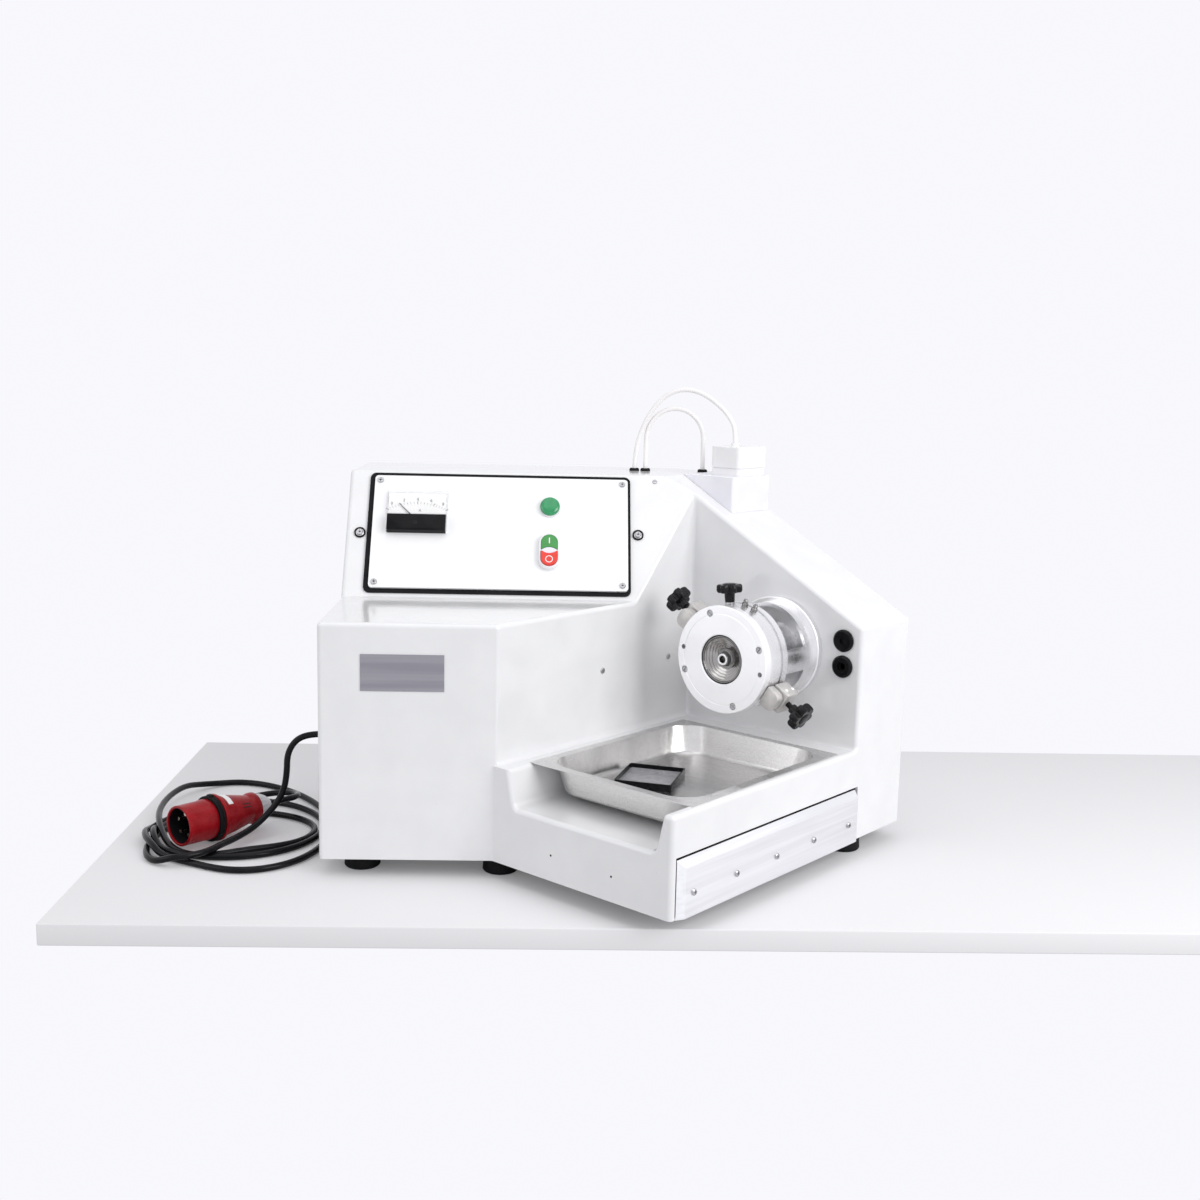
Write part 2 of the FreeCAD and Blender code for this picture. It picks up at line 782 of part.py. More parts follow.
def make_front_cover():
    section = [(inlet_bore, cover_plate_start - 4), (chamber_bore - 0.2, cover_plate_start - 4),
               (chamber_bore - 0.2, cover_plate_start), (chamber_radius, cover_plate_start),
               (chamber_radius, chamber_front - 1), (chamber_radius - 1, chamber_front),
               (62.8, chamber_front), (62.4, chamber_front - 0.7), (61.4, chamber_front),
               (inlet_bore + 1, chamber_front), (inlet_bore, chamber_front - 1)]
    body = turned(section)
    holes = []
    back, front = cover_plate_start - 1, chamber_front + 1
    shank = cover_screw_head_radius * shank_share + screw_clear
    for angle in cover_screw_angles:
        place = polar(cover_screw_radius, angle)
        holes.append(rod(shank, back, front, *place))
        holes.append(rod(cover_screw_head_radius + screw_clear, front - 1 - cover_screw_seat,
                         front, *place))
    for angle in jack_hole_angles:
        holes.append(rod(jack_hole_radius, back, front, *polar(cover_screw_radius, angle)))
    return on_mill(body.cut(group(holes)))


def make_cover_screws():
    shapes = []
    for angle in cover_screw_angles:
        one = slotted_screw(cover_screw_head_radius, cover_screw_seat - 0.5, 6.0)
        one.rotate(V(0, 0, 0), up, angle + cover_screw_slot_turn)
        x, y = polar(cover_screw_radius, angle)
        shapes.append(shifted(one, x, y, chamber_front - cover_screw_seat))
    return on_mill(group(shapes))


def make_inlet_insert():
    back = cover_plate_start - 4
    section = [(nozzle_bore, back), (inlet_radius, back), (inlet_radius, 135.5), (30.5, 135.5),
               (27, 128.5), (15, 125), (10.5, 125), (nozzle_radius, 126.5),
               (nozzle_radius, nozzle_front - 1), (nozzle_radius - 1, nozzle_front),
               (nozzle_bore, nozzle_front)]
    return on_mill(turned(section))


def make_inlet_seal():
    return on_mill(ring(inlet_bore, inlet_radius, 129, 135))


def make_cooling_nipples():
    nipple = turned([(0, -6), (2.4, -6), (2.4, 0), (4.4, 0), (4.4, 4.2), (2.8, 5.4),
                     (3.4, 8.0), (2.2, 10.0), (0, 10.0)])
    seated = shifted(nipple, 0, 0, chamber_radius)
    return on_mill(group([mill_radial(seated, a, filler_place - 4) for a in nipple_angles]))


def star_knob(stem, stem_end):
    """A star grip on its screw: the grip's underside is at Z = 0 and the screw points down."""
    body = rod(star_radius - 5, 9, 9 + star_height)
    lobes = [rod(4.6, 9, 9 + star_height, *polar(star_radius - 4.6, i * 360 / star_lobes))
             for i in range(star_lobes)]
    neck = turned([(0, 0), (6.2, 0), (7.2, 9), (0, 9)])
    return joined([body, neck, rod(bolt_radius, -stem, 0), stem_end] + lobes)


def make_filling_knob():
    tip = turned([(0, -9), (4.2, -9), (4.2, -6), (0, -5)])
    plug = star_knob(6, tip)
    collar = ring(6.8, bolt_radius, -2.0, 0)
    seated = shifted(plug.fuse(collar), 0, 0, chamber_radius + 2.3)
    return on_mill(mill_radial(seated, filler_angle, filler_place))


clamp_reach = (chamber_radius + 0.4, 99.0)


def clamp_block():
    """A claw that grips the two flanges, drawn along Z with the flanges across it in X."""
    low, high = clamp_reach
    half = clamp_width / 2
    front = chamber_front - 11
    back = rear_ring_start - 3
    roof = box(back, -half, low, front, half, high)
    corners = [e for e in roof.Edges if e.BoundBox.ZLength < 1e-3 and e.BoundBox.XLength < 1e-3
               and e.BoundBox.ZMin > high - 1]
    roof = roof.makeFillet(7, corners)
    upright_edges = [e for e in roof.Edges if upright(e) and e.BoundBox.ZLength > 5]
    roof = roof.makeFillet(4, upright_edges)
    jaw = box(back, -half + 4, low - 6, back + 2.6, half - 4, low + 1)
    slot = box(front - 14, -4.5, low - 1, front + 1, 4.5, low + 12)
    bolt_hole = rod(bolt_radius + 0.1, low - 1, high + 1, (front + back) / 2 - 6, 0)
    return roof.fuse(jaw).cut(slot.fuse(bolt_hole)), (front + back) / 2 - 6


def clamp_pose(shape, angle):
    """Brings a clamp piece to its angle: its Z goes radially, its X along the mill axis."""
    x, y = polar(1, angle)
    radial = V(x, y, 0)
    return on_mill(shape.transformed(frame(V(0, 0, 0), up, V(-y, x, 0), radial), copy=True))


def make_clamp_claw(angle):
    block, bolt_x = clamp_block()
    pins = [rod(2.0, clamp_reach[1] - 2, clamp_reach[1] + 0.9, bolt_x + 8, side * 5.0)
            for side in (-1, 1)]
    return clamp_pose(joined([block] + pins), angle)


def make_clamp_knob(angle):
    block, bolt_x = clamp_block()
    low, high = clamp_reach
    tip = rod(bolt_radius, low - high - 8 + 1.5, -8)
    knob = star_knob(8, tip)
    return clamp_pose(shifted(knob, bolt_x, 0, high + 8), angle)


def make_water_couplings():
    r = coupling_radius
    plug = turned([(0, 0), (r, 0), (r, 3.0), (r - 2.5, 5.5), (0, 5.5)])
    plug = plug.fuse(rod(r * 0.6 - 0.3, -12, 0))
    hexagon = prism([polar(4.6, i * 60) for i in range(6)], 1.5, 9)
    socket = rod(6.5, 0, 9).fuse(rod(4.0, -14, 9))
    upper = shifted(plug.cut(hexagon), coupling_offset - axis_offset,
                    coupling_heights[0] - axis_z, 0)
    lower = shifted(plug.cut(socket), coupling_offset - axis_offset,
                    coupling_heights[1] - axis_z, 0)
    return on_mill(group([upper, lower]))


# Drive inside the housing

def make_bearing_housing():
    section = [(bearing_radius, -16), (bearing_flange_radius, -16),
               (bearing_flange_radius, -wall), (41.5, -wall), (41.5, -wall - 6),
               (shaft_radius + 3, -wall - 6), (shaft_radius + 3, -20), (bearing_radius, -20)]
    front = turned(section)
    body = ring(bearing_body_radius, bearing_radius, -84, -16)
    ribs = [prism([polar(bearing_body_radius - 1, a - 4), polar(bearing_flange_radius - 4, a - 3),
                   polar(bearing_flange_radius - 4, a + 3), polar(bearing_body_radius - 1, a + 4)],
                  -40, -16) for a in (45, 135, 225, 315)]
    stand = box(-28, -axis_z + base_z + base_sheet, -60, 28, -bearing_body_radius + 4, -36)
    return on_mill(joined([front, body, stand] + ribs))


def make_ball_bearings():
    races = []
    for z in bearing_places:
        outer = ring(bearing_radius, bearing_radius - 4, z, z + bearing_width)
        inner = ring(shaft_radius + 4, shaft_radius + shaft_gap, z, z + bearing_width)
        shield = ring(bearing_radius - 3.5, shaft_radius + 3.5, z + 2, z + bearing_width - 2)
        races.append(joined([outer, inner, shield]))
    return on_mill(group(races))


def make_agitator_shaft():
    section = [(0, shaft_back), (shaft_radius - 1, shaft_back), (shaft_radius, shaft_back + 1),
               (shaft_radius, shaft_front - 3), (shaft_radius - 3, shaft_front), (0, shaft_front)]
    return on_mill(turned(section))


def make_agitator_discs():
    discs = []
    for z in disc_places:
        disc = ring(disc_radius, shaft_radius, z, z + disc_sheet)
        holes = [rod(5.5, z - 1, z + disc_sheet + 1, *polar(disc_radius * 0.66, i * 60))
                 for i in range(6)]
        discs.append(disc.cut(group(holes)))
    spacer = ring(shaft_radius + 5, shaft_radius, disc_places[0] + disc_sheet, disc_places[1])
    return on_mill(group([joined(discs + [spacer])]))


def pulley(radius):
    z0, z1 = belt_start, belt_start + belt_width + 2 * pulley_lip
    lip = radius + 3
    return turned([(shaft_radius, z0), (lip, z0), (lip, z0 + pulley_lip * 0.5),
                   (radius, z0 + pulley_lip * 0.5), (radius, z1 - pulley_lip * 0.5),
                   (lip, z1 - pulley_lip * 0.5), (lip, z1), (shaft_radius, z1)])


def tangent_loop(small, large, grow, z0, z1):
    """A plate round two circles: one at the origin and one at the motor's place."""
    dx, dy = motor_offset
    span = hypot(dx, dy)
    heading = degrees(atan2(dy, dx))
    a, b = small + grow, large + grow
    lean = degrees(acos((a - b) / span))
    near = [polar(a, heading + side * lean) for side in (1, -1)]
    far = [polar(b, heading + side * lean) for side in (1, -1)]
    near = [V(x, y, z0) for x, y in near]
    far = [V(x + dx, y + dy, z0) for x, y in far]
    near_back = V(*polar(a, heading + 180), z0)
    far_tip = V(*polar(b, heading), z0) + V(dx, dy, 0)
    wire = Part.Wire([Part.Arc(near[0], near_back, near[1]).toShape(),
                      Part.LineSegment(near[1], far[1]).toShape(),
                      Part.Arc(far[1], far_tip, far[0]).toShape(),
                      Part.LineSegment(far[0], near[0]).toShape()])
    return Part.Face(wire).extrude(V(0, 0, z1 - z0))


def make_drive_belt():
    z0 = belt_start + pulley_lip
    z1 = z0 + belt_width
    outer = tangent_loop(shaft_pulley_radius, motor_pulley_radius, belt_gap + belt_thickness, z0, z1)
    inner = tangent_loop(shaft_pulley_radius, motor_pulley_radius, belt_gap, z0 - 1, z1 + 1)
    return on_mill(outer.cut(inner))


def at_motor(shape):
    return on_mill(shifted(shape, motor_offset[0], motor_offset[1], 0))


def make_motor_frame():
    r = motor_radius
    shell = turned([(40, motor_back), (r - 16, motor_back), (r - 4, motor_back + 14),
                    (r - 4, motor_front - 34), (r - 10, motor_front - 30),
                    (r - 10, motor_front - 3), (r - 13, motor_front), (18, motor_front),
                    (18, motor_front - 4), (r - 22, motor_front - 4),
                    (r - 22, motor_front - 34), (40, motor_front - 34)])
    end_bells = [ring(42, shaft_radius + shaft_gap, motor_back + 2, motor_back + 16),
                 ring(42, shaft_radius + shaft_gap, motor_front - 50, motor_front - 36)]
    ribs = []
    for index in range(motor_fins):
        fin = box(r - 8, -1.4, motor_back + 20, r, 1.4, motor_front - 44)
        fin.rotate(V(0, 0, 0), up, (index + 0.5) * 360 / motor_fins)
        ribs.append(fin)
    floor = base_z + base_sheet - (axis_z + motor_offset[1])
    feet = [box(side * 62 - 16, floor, z, side * 62 + 16, floor + 12, z + 26)
            for side in (-1, 1) for z in (motor_back + 24, motor_front - 76)]
    webs = [box(side * 52 - 5, floor, z + 6, side * 52 + 5, -30, z + 20)
            for side in (-1, 1) for z in (motor_back + 24, motor_front - 76)]
    terminal = box(-38, r - 8, motor_back + 30, 38, r + 22, motor_back + 110)
    return at_motor(joined([shell, terminal] + end_bells + ribs + feet + webs))


def make_rotor_shaft():
    spindle = turned([(0, shaft_back), (shaft_radius - 1, shaft_back),
                      (shaft_radius, shaft_back + 1), (shaft_radius, motor_front - 12),
                      (0, motor_front - 12)])
    rotor = ring(37, shaft_radius, motor_back + 30, motor_front - 62)
    hub = ring(shaft_radius + 6, shaft_radius, motor_front - 30, motor_front - 14)
    blades = []
    for index in range(8):
        blade = box(shaft_radius + 4, -1, motor_front - 30, motor_radius - 26, 1,
                    motor_front - 14)
        blade.rotate(V(0, 0, 0), up, index * 45)
        blades.append(blade)
    return at_motor(joined([spindle, rotor, hub] + blades))


# Drip pan

def tapered_basin(inset, bottom):
    """The pan's basin as a block, from above the rim down to its floor."""
    w, l = pan_size
    top = [(pan_flange + inset, pan_flange + inset),
           (w - pan_flange - inset, l - pan_flange - inset)]
    lean = 9.0
    radius = pan_corner_radius - inset

    def outline(grow, z):
        (x0, y0), (x1, y1) = top
        x0, y0, x1, y1 = x0 + grow, y0 + grow, x1 - grow, y1 - grow
        r = radius
        corners = ((x1 - r, y0 + r, 270), (x1 - r, y1 - r, 0), (x0 + r, y1 - r, 90),
                   (x0 + r, y0 + r, 180))
        edges = []
        marks = []
        for cx, cy, start in corners:
            points = [V(cx + r * cos(radians(start + t)), cy + r * sin(radians(start + t)), z)
                      for t in (0, 45, 90)]
            marks.append((points[0], points[2]))
            edges.append(Part.Arc(*points).toShape())
        wire_edges = []
        for index, arc in enumerate(edges):
            wire_edges.append(arc)
            wire_edges.append(Part.LineSegment(marks[index][1],
                                               marks[(index + 1) % 4][0]).toShape())
        return Part.Wire(wire_edges)

    return Part.makeLoft([outline(0, 0), outline(lean, bottom)], True, True)


def make_pan():
    w, l = pan_size
    rim = box(0, 0, -pan_sheet, w, l, 0)
    outer = tapered_basin(0, -pan_depth)
    floor_edges = [e for e in outer.Edges if e.BoundBox.ZMax < -pan_depth + 0.1]
    outer = outer.makeFillet(7, floor_edges)
    inner = tapered_basin(pan_sheet, -pan_depth + pan_sheet)
    floor_edges = [e for e in inner.Edges if e.BoundBox.ZMax < -pan_depth + pan_sheet + 0.1]
    inner = inner.makeFillet(6, floor_edges)
    pan = rim.fuse(outer).cut(inner)
    z = deck_z + pan_gap + pan_sheet
    return on_tray(shifted(pan, pan_corner[0], pan_corner[1], z))


pan_floor_z = deck_z + pan_gap + pan_sheet - pan_depth + pan_sheet


def make_strainer():
    w, l = strainer_size
    outer = box(-w / 2, -l / 2, 0, w / 2, l / 2, strainer_height)
    inner = box(-w / 2 + 3, -l / 2 + 3, 5, w / 2 - 3, l / 2 - 3, strainer_height + 1)
    under = box(-w / 2 + 3, -l / 2 + 3, -1, w / 2 - 3, l / 2 - 3, 3)
    frame_shape = outer.cut(inner).cut(under)
    frame_shape.rotate(V(0, 0, 0), up, strainer_turn)
    return on_tray(shifted(frame_shape, strainer_centre[0], strainer_centre[1], pan_floor_z))


# Bottle and hoses

def roof_z(x):
    return top_z - max(x, 0) * tan(radians(roof_slope))


bottle_base = roof_z(bottle_x[0]) + bottle_clear


def make_tank_holder():
    x0, x1 = holder_x
    y0, y1 = holder_y
    high = roof_z(x0) + holder_proud
    t = holder_wall
    outer = bar([(x0, roof_z(x0)), (x1, roof_z(x1)), (x1, high), (x0, high)], y0, y1)
    outer = outer.makeFillet(4, [e for e in outer.Edges if upright(e) and e.BoundBox.ZLength > 30])
    left = bottle_x[0] - bottle_gap
    inner = bar([(left, bottle_base), (x1 - t, bottle_base), (x1 - t, high + 1),
                 (left, high + 1)], bottle_y[0] - bottle_gap, y1 - t)
    return on_roof(outer.cut(inner))


def make_tank_bottle():
    bottle = rounded_slab(bottle_x[0], bottle_y[0], bottle_base, bottle_x[1], bottle_y[1],
                          bottle_top, 6)
    return on_roof(bottle)


def make_bottle_cap():
    cap = rounded_slab(bottle_x[0] - 1, bottle_y[0] - 1, bottle_top, bottle_x[1] + 1,
                       bottle_y[1] + 1, bottle_top + lid_height, 7)
    socket = ring(6, hose_radius, bottle_top + lid_height, bottle_top + lid_height + 5,
                  long_hose_end[0], long_hose_end[1])
    hole = rod(hose_radius, bottle_top + lid_height - 12, bottle_top + lid_height + 9,
               long_hose_end[0], long_hose_end[1])
    return on_roof(cap.fuse(socket).cut(hole))


def make_grommets():
    collar = turned([(hose_radius, -wall - 1.5), (grommet_radius * 0.63, -wall - 1.5),
                     (grommet_radius * 0.63, 0), (grommet_radius, 0), (grommet_radius, 2.6),
                     (grommet_radius - 1.4, 4.2), (hose_radius, 4.2)])
    return group([shifted(collar, x, y, top_z)
                  for x, y in (long_hose_start, short_hose_start, short_hose_end)])


def tube(points, radius, label):
    """A round tube along straight runs joined by arcs as large as the runs allow."""
    edges = []
    last = points[0]
    radii = []
    for before, here, after in zip(points, points[1:], points[2:]):
        back, ahead = before - here, after - here
        back_length, ahead_length = back.Length, ahead.Length
        back.normalize()
        ahead.normalize()
        turn = pi - back.getAngle(ahead)
        cut = 0.45 * min(back_length, ahead_length)
        radii.append(cut / tan(turn / 2))
        start, end = here + back * cut, here + ahead * cut
        middle = (start + end) * 0.5
        inward = middle - here
        inward.normalize()
        sagitta = radii[-1] / cos(turn / 2) - radii[-1]
        edges.append(Part.LineSegment(last, start).toShape())
        edges.append(Part.Arc(start, here + inward * sagitta, end).toShape())
        last = end
    edges.append(Part.LineSegment(last, points[-1]).toShape())
    path = Part.Wire(edges)
    heading = points[1] - points[0]
    section = Part.Wire(Part.makeCircle(radius, points[0], heading))
    shape = path.makePipeShell([section], True, False)
    print(label, "length", round(path.Length, 1), "radii", [round(r) for r in radii],
          "volume ratio", round(shape.Volume / (pi * radius ** 2 * path.Length), 4))
    return shape


def long_hose_route():
    end = crest + across * long_hose_end[0] + away * long_hose_end[1]
    lid_z = bottle_top + lid_height
    start_x, start_y = long_hose_start
    return [V(start_x, start_y, top_z - wall - 8), V(start_x, start_y, top_z + 20),
            V(start_x + 7, start_y - 3, top_z + 58), V(start_x + 26, start_y - 9, top_z + 98),
            V(start_x + 54, start_y - 17, top_z + 124), V(start_x + 88, start_y - 28, top_z + 126),
            V(end.x - 28, end.y + 18, top_z + 108), V(end.x - 6, end.y + 4, top_z + 84),
            V(end.x, end.y, lid_z + 20), V(end.x, end.y, lid_z - 11)]


def short_hose_route():
    x, y = short_hose_start
    end_x, end_y = short_hose_end
    return [V(x, y, top_z - wall - 8), V(x, y, top_z + 28), V(x + 0.5, y - 0.5, top_z + 69),
            V(x + 26, y - 3, top_z + 96), V(end_x - 26, end_y - 2, top_z + 96),
            V(end_x - 0.5, end_y, top_z + 69), V(end_x, end_y, top_z + 28),
            V(end_x, end_y, top_z - wall - 8)]


# Mains lead

def lead_route():
    start = V(-gland_length, gland_y, gland_z)
    return [start, start - V(22, 0, 0), V(-61, 170, 136), V(-71, 170, 116), V(-72.5, 171, 90),
            V(-77, 171, 64), V(-88, 170, 44), V(-101, 163, 29), V(-112, 148, 20),
            V(-122, 128, 16), V(-134, 106, 14), V(-143, 87, 12.5), V(-151, 68, 12)]


def make_mains_cable():
    return tube(lead_route(), lead_radius, "mains lead")


def oval(centre, half, low, high):
    """An upright oval block whose long axis is turned as the coil lies."""
    ellipse = Part.Ellipse(V(0, 0, low), half[0], half[1]).toShape()
    block = Part.Face(Part.Wire(ellipse)).extrude(V(0, 0, high - low))
    block.rotate(V(0, 0, 0), up, coil_turn)
    return block.translated(V(centre[0], centre[1], 0))


def make_cable_coil(neighbours):
    """The outer shape of the loose turns beside the machine, with room for what lies in them."""
    turns = oval(coil_centre, coil_half, 0, coil_height)
    bend = rod(coil_bend[2], 0, coil_bend[3], coil_bend[0], coil_bend[1])
    coil = turns.fuse(bend).cut(oval(coil_hole_centre, coil_hole_half, -1, coil_height + 1))
    return coil.cut(group(neighbours))


plug_axis = plug_tail - plug_face
plug_length = plug_axis.Length


def on_plug(shape):
    """Stands a piece drawn along Z on the plug's axis, from its open face backwards."""
    return turn_to(shape, plug_axis, plug_face)


def make_plug_body():
    collar = turned([(24.5, 0), (28, 0), (28, 42), (24.5, 42)])
    back = turned([(0, 38), (28, 38), (28, 56), (33, 57), (33, 61), (29, 64), (24, 96),
                   (20.5, 112), (22.5, 118), (22.5, 126), (0, 126)])
    return on_plug(collar.fuse(back))


def make_plug_ring():
    return on_plug(ring(32, 28, 47, 56))


def make_plug_pins():
    shapes = [rod(2.5, 10, 38, *polar(15, 90 + i * 72)) for i in range(5)]
    return on_plug(group(shapes))


def make_plug_gland():
    section = [(lead_radius, 126), (19, 126), (17.5, 138), (12, 148), (lead_radius, 150)]
    return on_plug(turned(section))


def make_cable_gland():
    section = [(lead_radius, -8), (6.4, -8), (6.4, 0), (13, 0), (13, 7), (11, 9), (11, 17),
               (8.5, gland_length), (lead_radius, gland_length)]
    return turn_to(turned(section), V(-1, 0, 0), V(0, gland_y, gland_z))


def make_parts():
    lead = make_mains_cable()
    plug = {"plug_body": make_plug_body(), "plug_ring": make_plug_ring(),
            "plug_pins": make_plug_pins(), "plug_gland": make_plug_gland()}
    return {
        "hood": make_hood(),
        "base_frame": make_base_frame(),
        "feet": make_feet(),
        "side_cover": make_side_cover(),
        "housing_screws": make_housing_screws(),
        "panel_gasket": make_panel_gasket(),
        "panel_plate": make_panel_plate(),
        "panel_screws": make_panel_screws(),
        "side_fasteners": make_side_fasteners(),
        "meter_case": make_meter_case(),
        "meter_dial": make_meter_dial(),
        "meter_window": make_meter_window(),
        "meter_needle": make_meter_needle(),
        "lamp_lens": make_lamp(),
        "button_bezel": make_button_bezel(),
        "button_window": make_button_window(),
        "start_button": button_cap(1, 0.0),
        "stop_button": button_cap(-1, 2.5),
        "contact_blocks": make_contact_blocks(),
        "name_plate": make_name_plate(),
        "drive_flange": make_drive_flange(),
        "lantern": make_lantern(),
        "seal_housing": make_seal_housing(),
        "shaft_seal": make_shaft_seal(),
        "grinding_cylinder": make_grinding_cylinder(),
        "front_cover": make_front_cover(),
        "cover_screws": make_cover_screws(),
        "inlet_insert": make_inlet_insert(),
        "inlet_seal": make_inlet_seal(),
        "cooling_nipples": make_cooling_nipples(),
        "filling_knob": make_filling_knob(),
        "clamp_claw_upper": make_clamp_claw(clamp_angles[0]),
        "clamp_claw_lower": make_clamp_claw(clamp_angles[1]),
        "clamp_knob_upper": make_clamp_knob(clamp_angles[0]),
        "clamp_knob_lower": make_clamp_knob(clamp_angles[1]),
        "water_couplings": make_water_couplings(),
        "bearing_housing": make_bearing_housing(),
        "ball_bearings": make_ball_bearings(),
        "agitator_shaft": make_agitator_shaft(),
        "agitator_discs": make_agitator_discs(),
        "shaft_pulley": on_mill(pulley(shaft_pulley_radius)),
        "motor_pulley": at_motor(pulley(motor_pulley_radius)),
        "drive_belt": make_drive_belt(),
        "motor_frame": make_motor_frame(),
        "rotor_shaft": make_rotor_shaft(),
        "pan": make_pan(),
        "strainer": make_strainer(),
        "tank_holder": make_tank_holder(),
        "tank_bottle": make_tank_bottle(),
        "bottle_cap": make_bottle_cap(),
        "hose_grommets": make_grommets(),
        "hose_long": tube(long_hose_route(), hose_radius, "long hose"),
        "hose_short": tube(short_hose_route(), hose_radius, "short hose"),
        "cable_gland": make_cable_gland(),
        "mains_cable": lead,
        "cable_coil": make_cable_coil([lead] + list(plug.values())),
        **plug,
    }


lead_parts = ("hose_long", "hose_short", "cable_gland", "mains_cable", "cable_coil",
              "plug_body", "plug_ring", "plug_pins", "plug_gland")


def main():
    parts = make_parts()
    own = [shape for name, shape in parts.items() if name not in lead_parts]
    extent = Part.makeCompound(own).BoundBox
    origin = V((extent.XMin + extent.XMax) / 2, (extent.YMin + extent.YMax) / 2, extent.ZMin)
    os.makedirs("parts", exist_ok=True)
    for name, shape in parts.items():
        shape.translated(origin * -1).exportStep("parts/" + name + ".step")
        solids = len(shape.Solids)
        print(name, "solids", solids, "valid", shape.isValid(), "volume", round(shape.Volume))
    print("origin", origin)
    return parts, origin


main()
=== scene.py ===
import bpy
import bmesh
import json
from math import cos, pi, radians, sin
from mathutils import Matrix, Vector

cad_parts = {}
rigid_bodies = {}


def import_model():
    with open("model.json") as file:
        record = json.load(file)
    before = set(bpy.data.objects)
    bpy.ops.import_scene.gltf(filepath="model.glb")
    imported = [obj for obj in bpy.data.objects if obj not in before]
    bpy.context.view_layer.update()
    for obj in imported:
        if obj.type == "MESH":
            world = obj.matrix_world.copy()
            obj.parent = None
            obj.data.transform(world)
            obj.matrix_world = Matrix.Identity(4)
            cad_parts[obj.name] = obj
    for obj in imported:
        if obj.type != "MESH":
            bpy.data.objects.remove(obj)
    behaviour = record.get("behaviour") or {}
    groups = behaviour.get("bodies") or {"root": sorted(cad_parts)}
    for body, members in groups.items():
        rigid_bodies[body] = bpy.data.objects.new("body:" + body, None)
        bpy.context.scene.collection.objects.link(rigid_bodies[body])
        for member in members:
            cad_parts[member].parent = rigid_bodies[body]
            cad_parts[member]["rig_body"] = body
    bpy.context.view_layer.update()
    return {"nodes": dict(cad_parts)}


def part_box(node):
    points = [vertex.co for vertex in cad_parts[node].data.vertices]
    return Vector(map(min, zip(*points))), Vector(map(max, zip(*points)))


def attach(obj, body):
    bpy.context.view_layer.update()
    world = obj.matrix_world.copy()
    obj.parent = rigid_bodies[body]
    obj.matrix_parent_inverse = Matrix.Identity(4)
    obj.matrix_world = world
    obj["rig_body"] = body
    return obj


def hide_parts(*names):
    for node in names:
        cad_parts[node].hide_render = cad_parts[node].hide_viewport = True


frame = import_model()

# Laboratory bead mill. Pieces are drawn in millimetres, each in the frame of the face that
# carries it, and brought to metres in the shared frame at the end.
housing = {
    "frontWidth": 229.6,
    "millTurn": 47.0,        # the mill side is turned by this about the vertical
    "trayLength": 403.0,
    "ledgeHeight": 338.0,
    "panelSetback": 202.7,
    "panelTilt": 58.1,
    "axisOffset": 157.5,     # mill axis from the inner corner
    "axisHeight": 279.4,
    "crestOffset": 42.27,    # the sloping roof's upper corner, left of the inner corner
}


def axes(origin, xWay, yWay, zWay):
    turn = Matrix((xWay, yWay, zWay)).transposed().to_4x4()
    return Matrix.Translation(origin) @ turn


sideways, upwards = Vector((1, 0, 0)), Vector((0, 0, 1))
millTurn = radians(housing["millTurn"])
panelTilt = radians(housing["panelTilt"])
away = Vector((cos(millTurn), sin(millTurn), 0))        # from the tray's front to the mill wall
across = Vector((sin(millTurn), -cos(millTurn), 0))     # along the mill wall, to the right
corner = sideways * housing["frontWidth"]
innerCorner = corner + away * housing["trayLength"]
millCentre = innerCorner + across * housing["axisOffset"] + upwards * housing["axisHeight"]
crest = innerCorner - across * housing["crestOffset"]
datum = Vector((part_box("hood")[0].x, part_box("name_plate")[1].y, 0))
bodyPlace = Matrix.Translation(datum) @ Matrix.Scale(0.001, 4)
slopeUp = Vector((0, cos(panelTilt), sin(panelTilt)))
panelPlace = bodyPlace @ axes((0, housing["panelSetback"], housing["ledgeHeight"]),
                              sideways, slopeUp, sideways.cross(slopeUp))
trayPlace = bodyPlace @ axes(corner, across, away, upwards)
millPlace = bodyPlace @ axes(millCentre, across, upwards, -away)

print("camera")
view = {
    "place": (298.309, -1738.65, 657.403),
    "heading": 0.03465946,       # to the right of straight ahead
    "dip": 0.16230771,
    "roll": -0.02237722,
    "focus": 1389 / 1200,        # focal length as a share of the picture's width
    "sensor": 36,
    "reach": (0.05, 50),         # nearest and farthest that it sees, in metres
}


def makeCamera():
    camera = bpy.data.cameras.new("photoView")
    camera.sensor_width = view["sensor"]
    camera.lens = view["sensor"] * view["focus"]
    camera.clip_start, camera.clip_end = view["reach"]
    stand = bpy.data.objects.new("photoView", camera)
    heading, dip, roll = view["heading"], view["dip"], view["roll"]
    ahead = Vector((sin(heading) * cos(dip), cos(heading) * cos(dip), -sin(dip)))
    right = Vector((cos(heading), -sin(heading), 0))
    down = ahead.cross(right)
    levelRight = right * cos(roll) + down * sin(roll)
    levelDown = down * cos(roll) - right * sin(roll)
    stand.matrix_world = axes(bodyPlace @ Vector(view["place"]), levelRight, -levelDown, -ahead)
    bpy.context.scene.collection.objects.link(stand)
    bpy.context.scene.camera = stand
    bpy.context.scene.view_settings.view_transform = "Standard"


makeCamera()

print("light and table")
studio = {
    "worldLight": 0.63,
    "worldTint": (1, 1, 1.03),
    "backdrop": (0.94, 0.94, 0.98),
    "table": (0.78, 0.775, 0.79),
    "tableGlow": 0.12,       # share of the table that the camera sees as plain white
    "glowColour": (0.985, 0.985, 1),
    "aim": (400, 200, 250),
    "lamps": (               # place, size and power of each soft lamp, all aimed at the machine
        ("windowLight", (2300, -1620, 1500), 1.8, 45),
        ("ceilingLight", (500, -300, 2600), 2.4, 13),
        ("fillLight", (-2200, -900, 1400), 1.8, 12),
    ),
}
table = {"left": -306.0, "right": 1500.0, "front": -161.0, "back": 655.0, "thick": 28.0,
         "edge": 2}


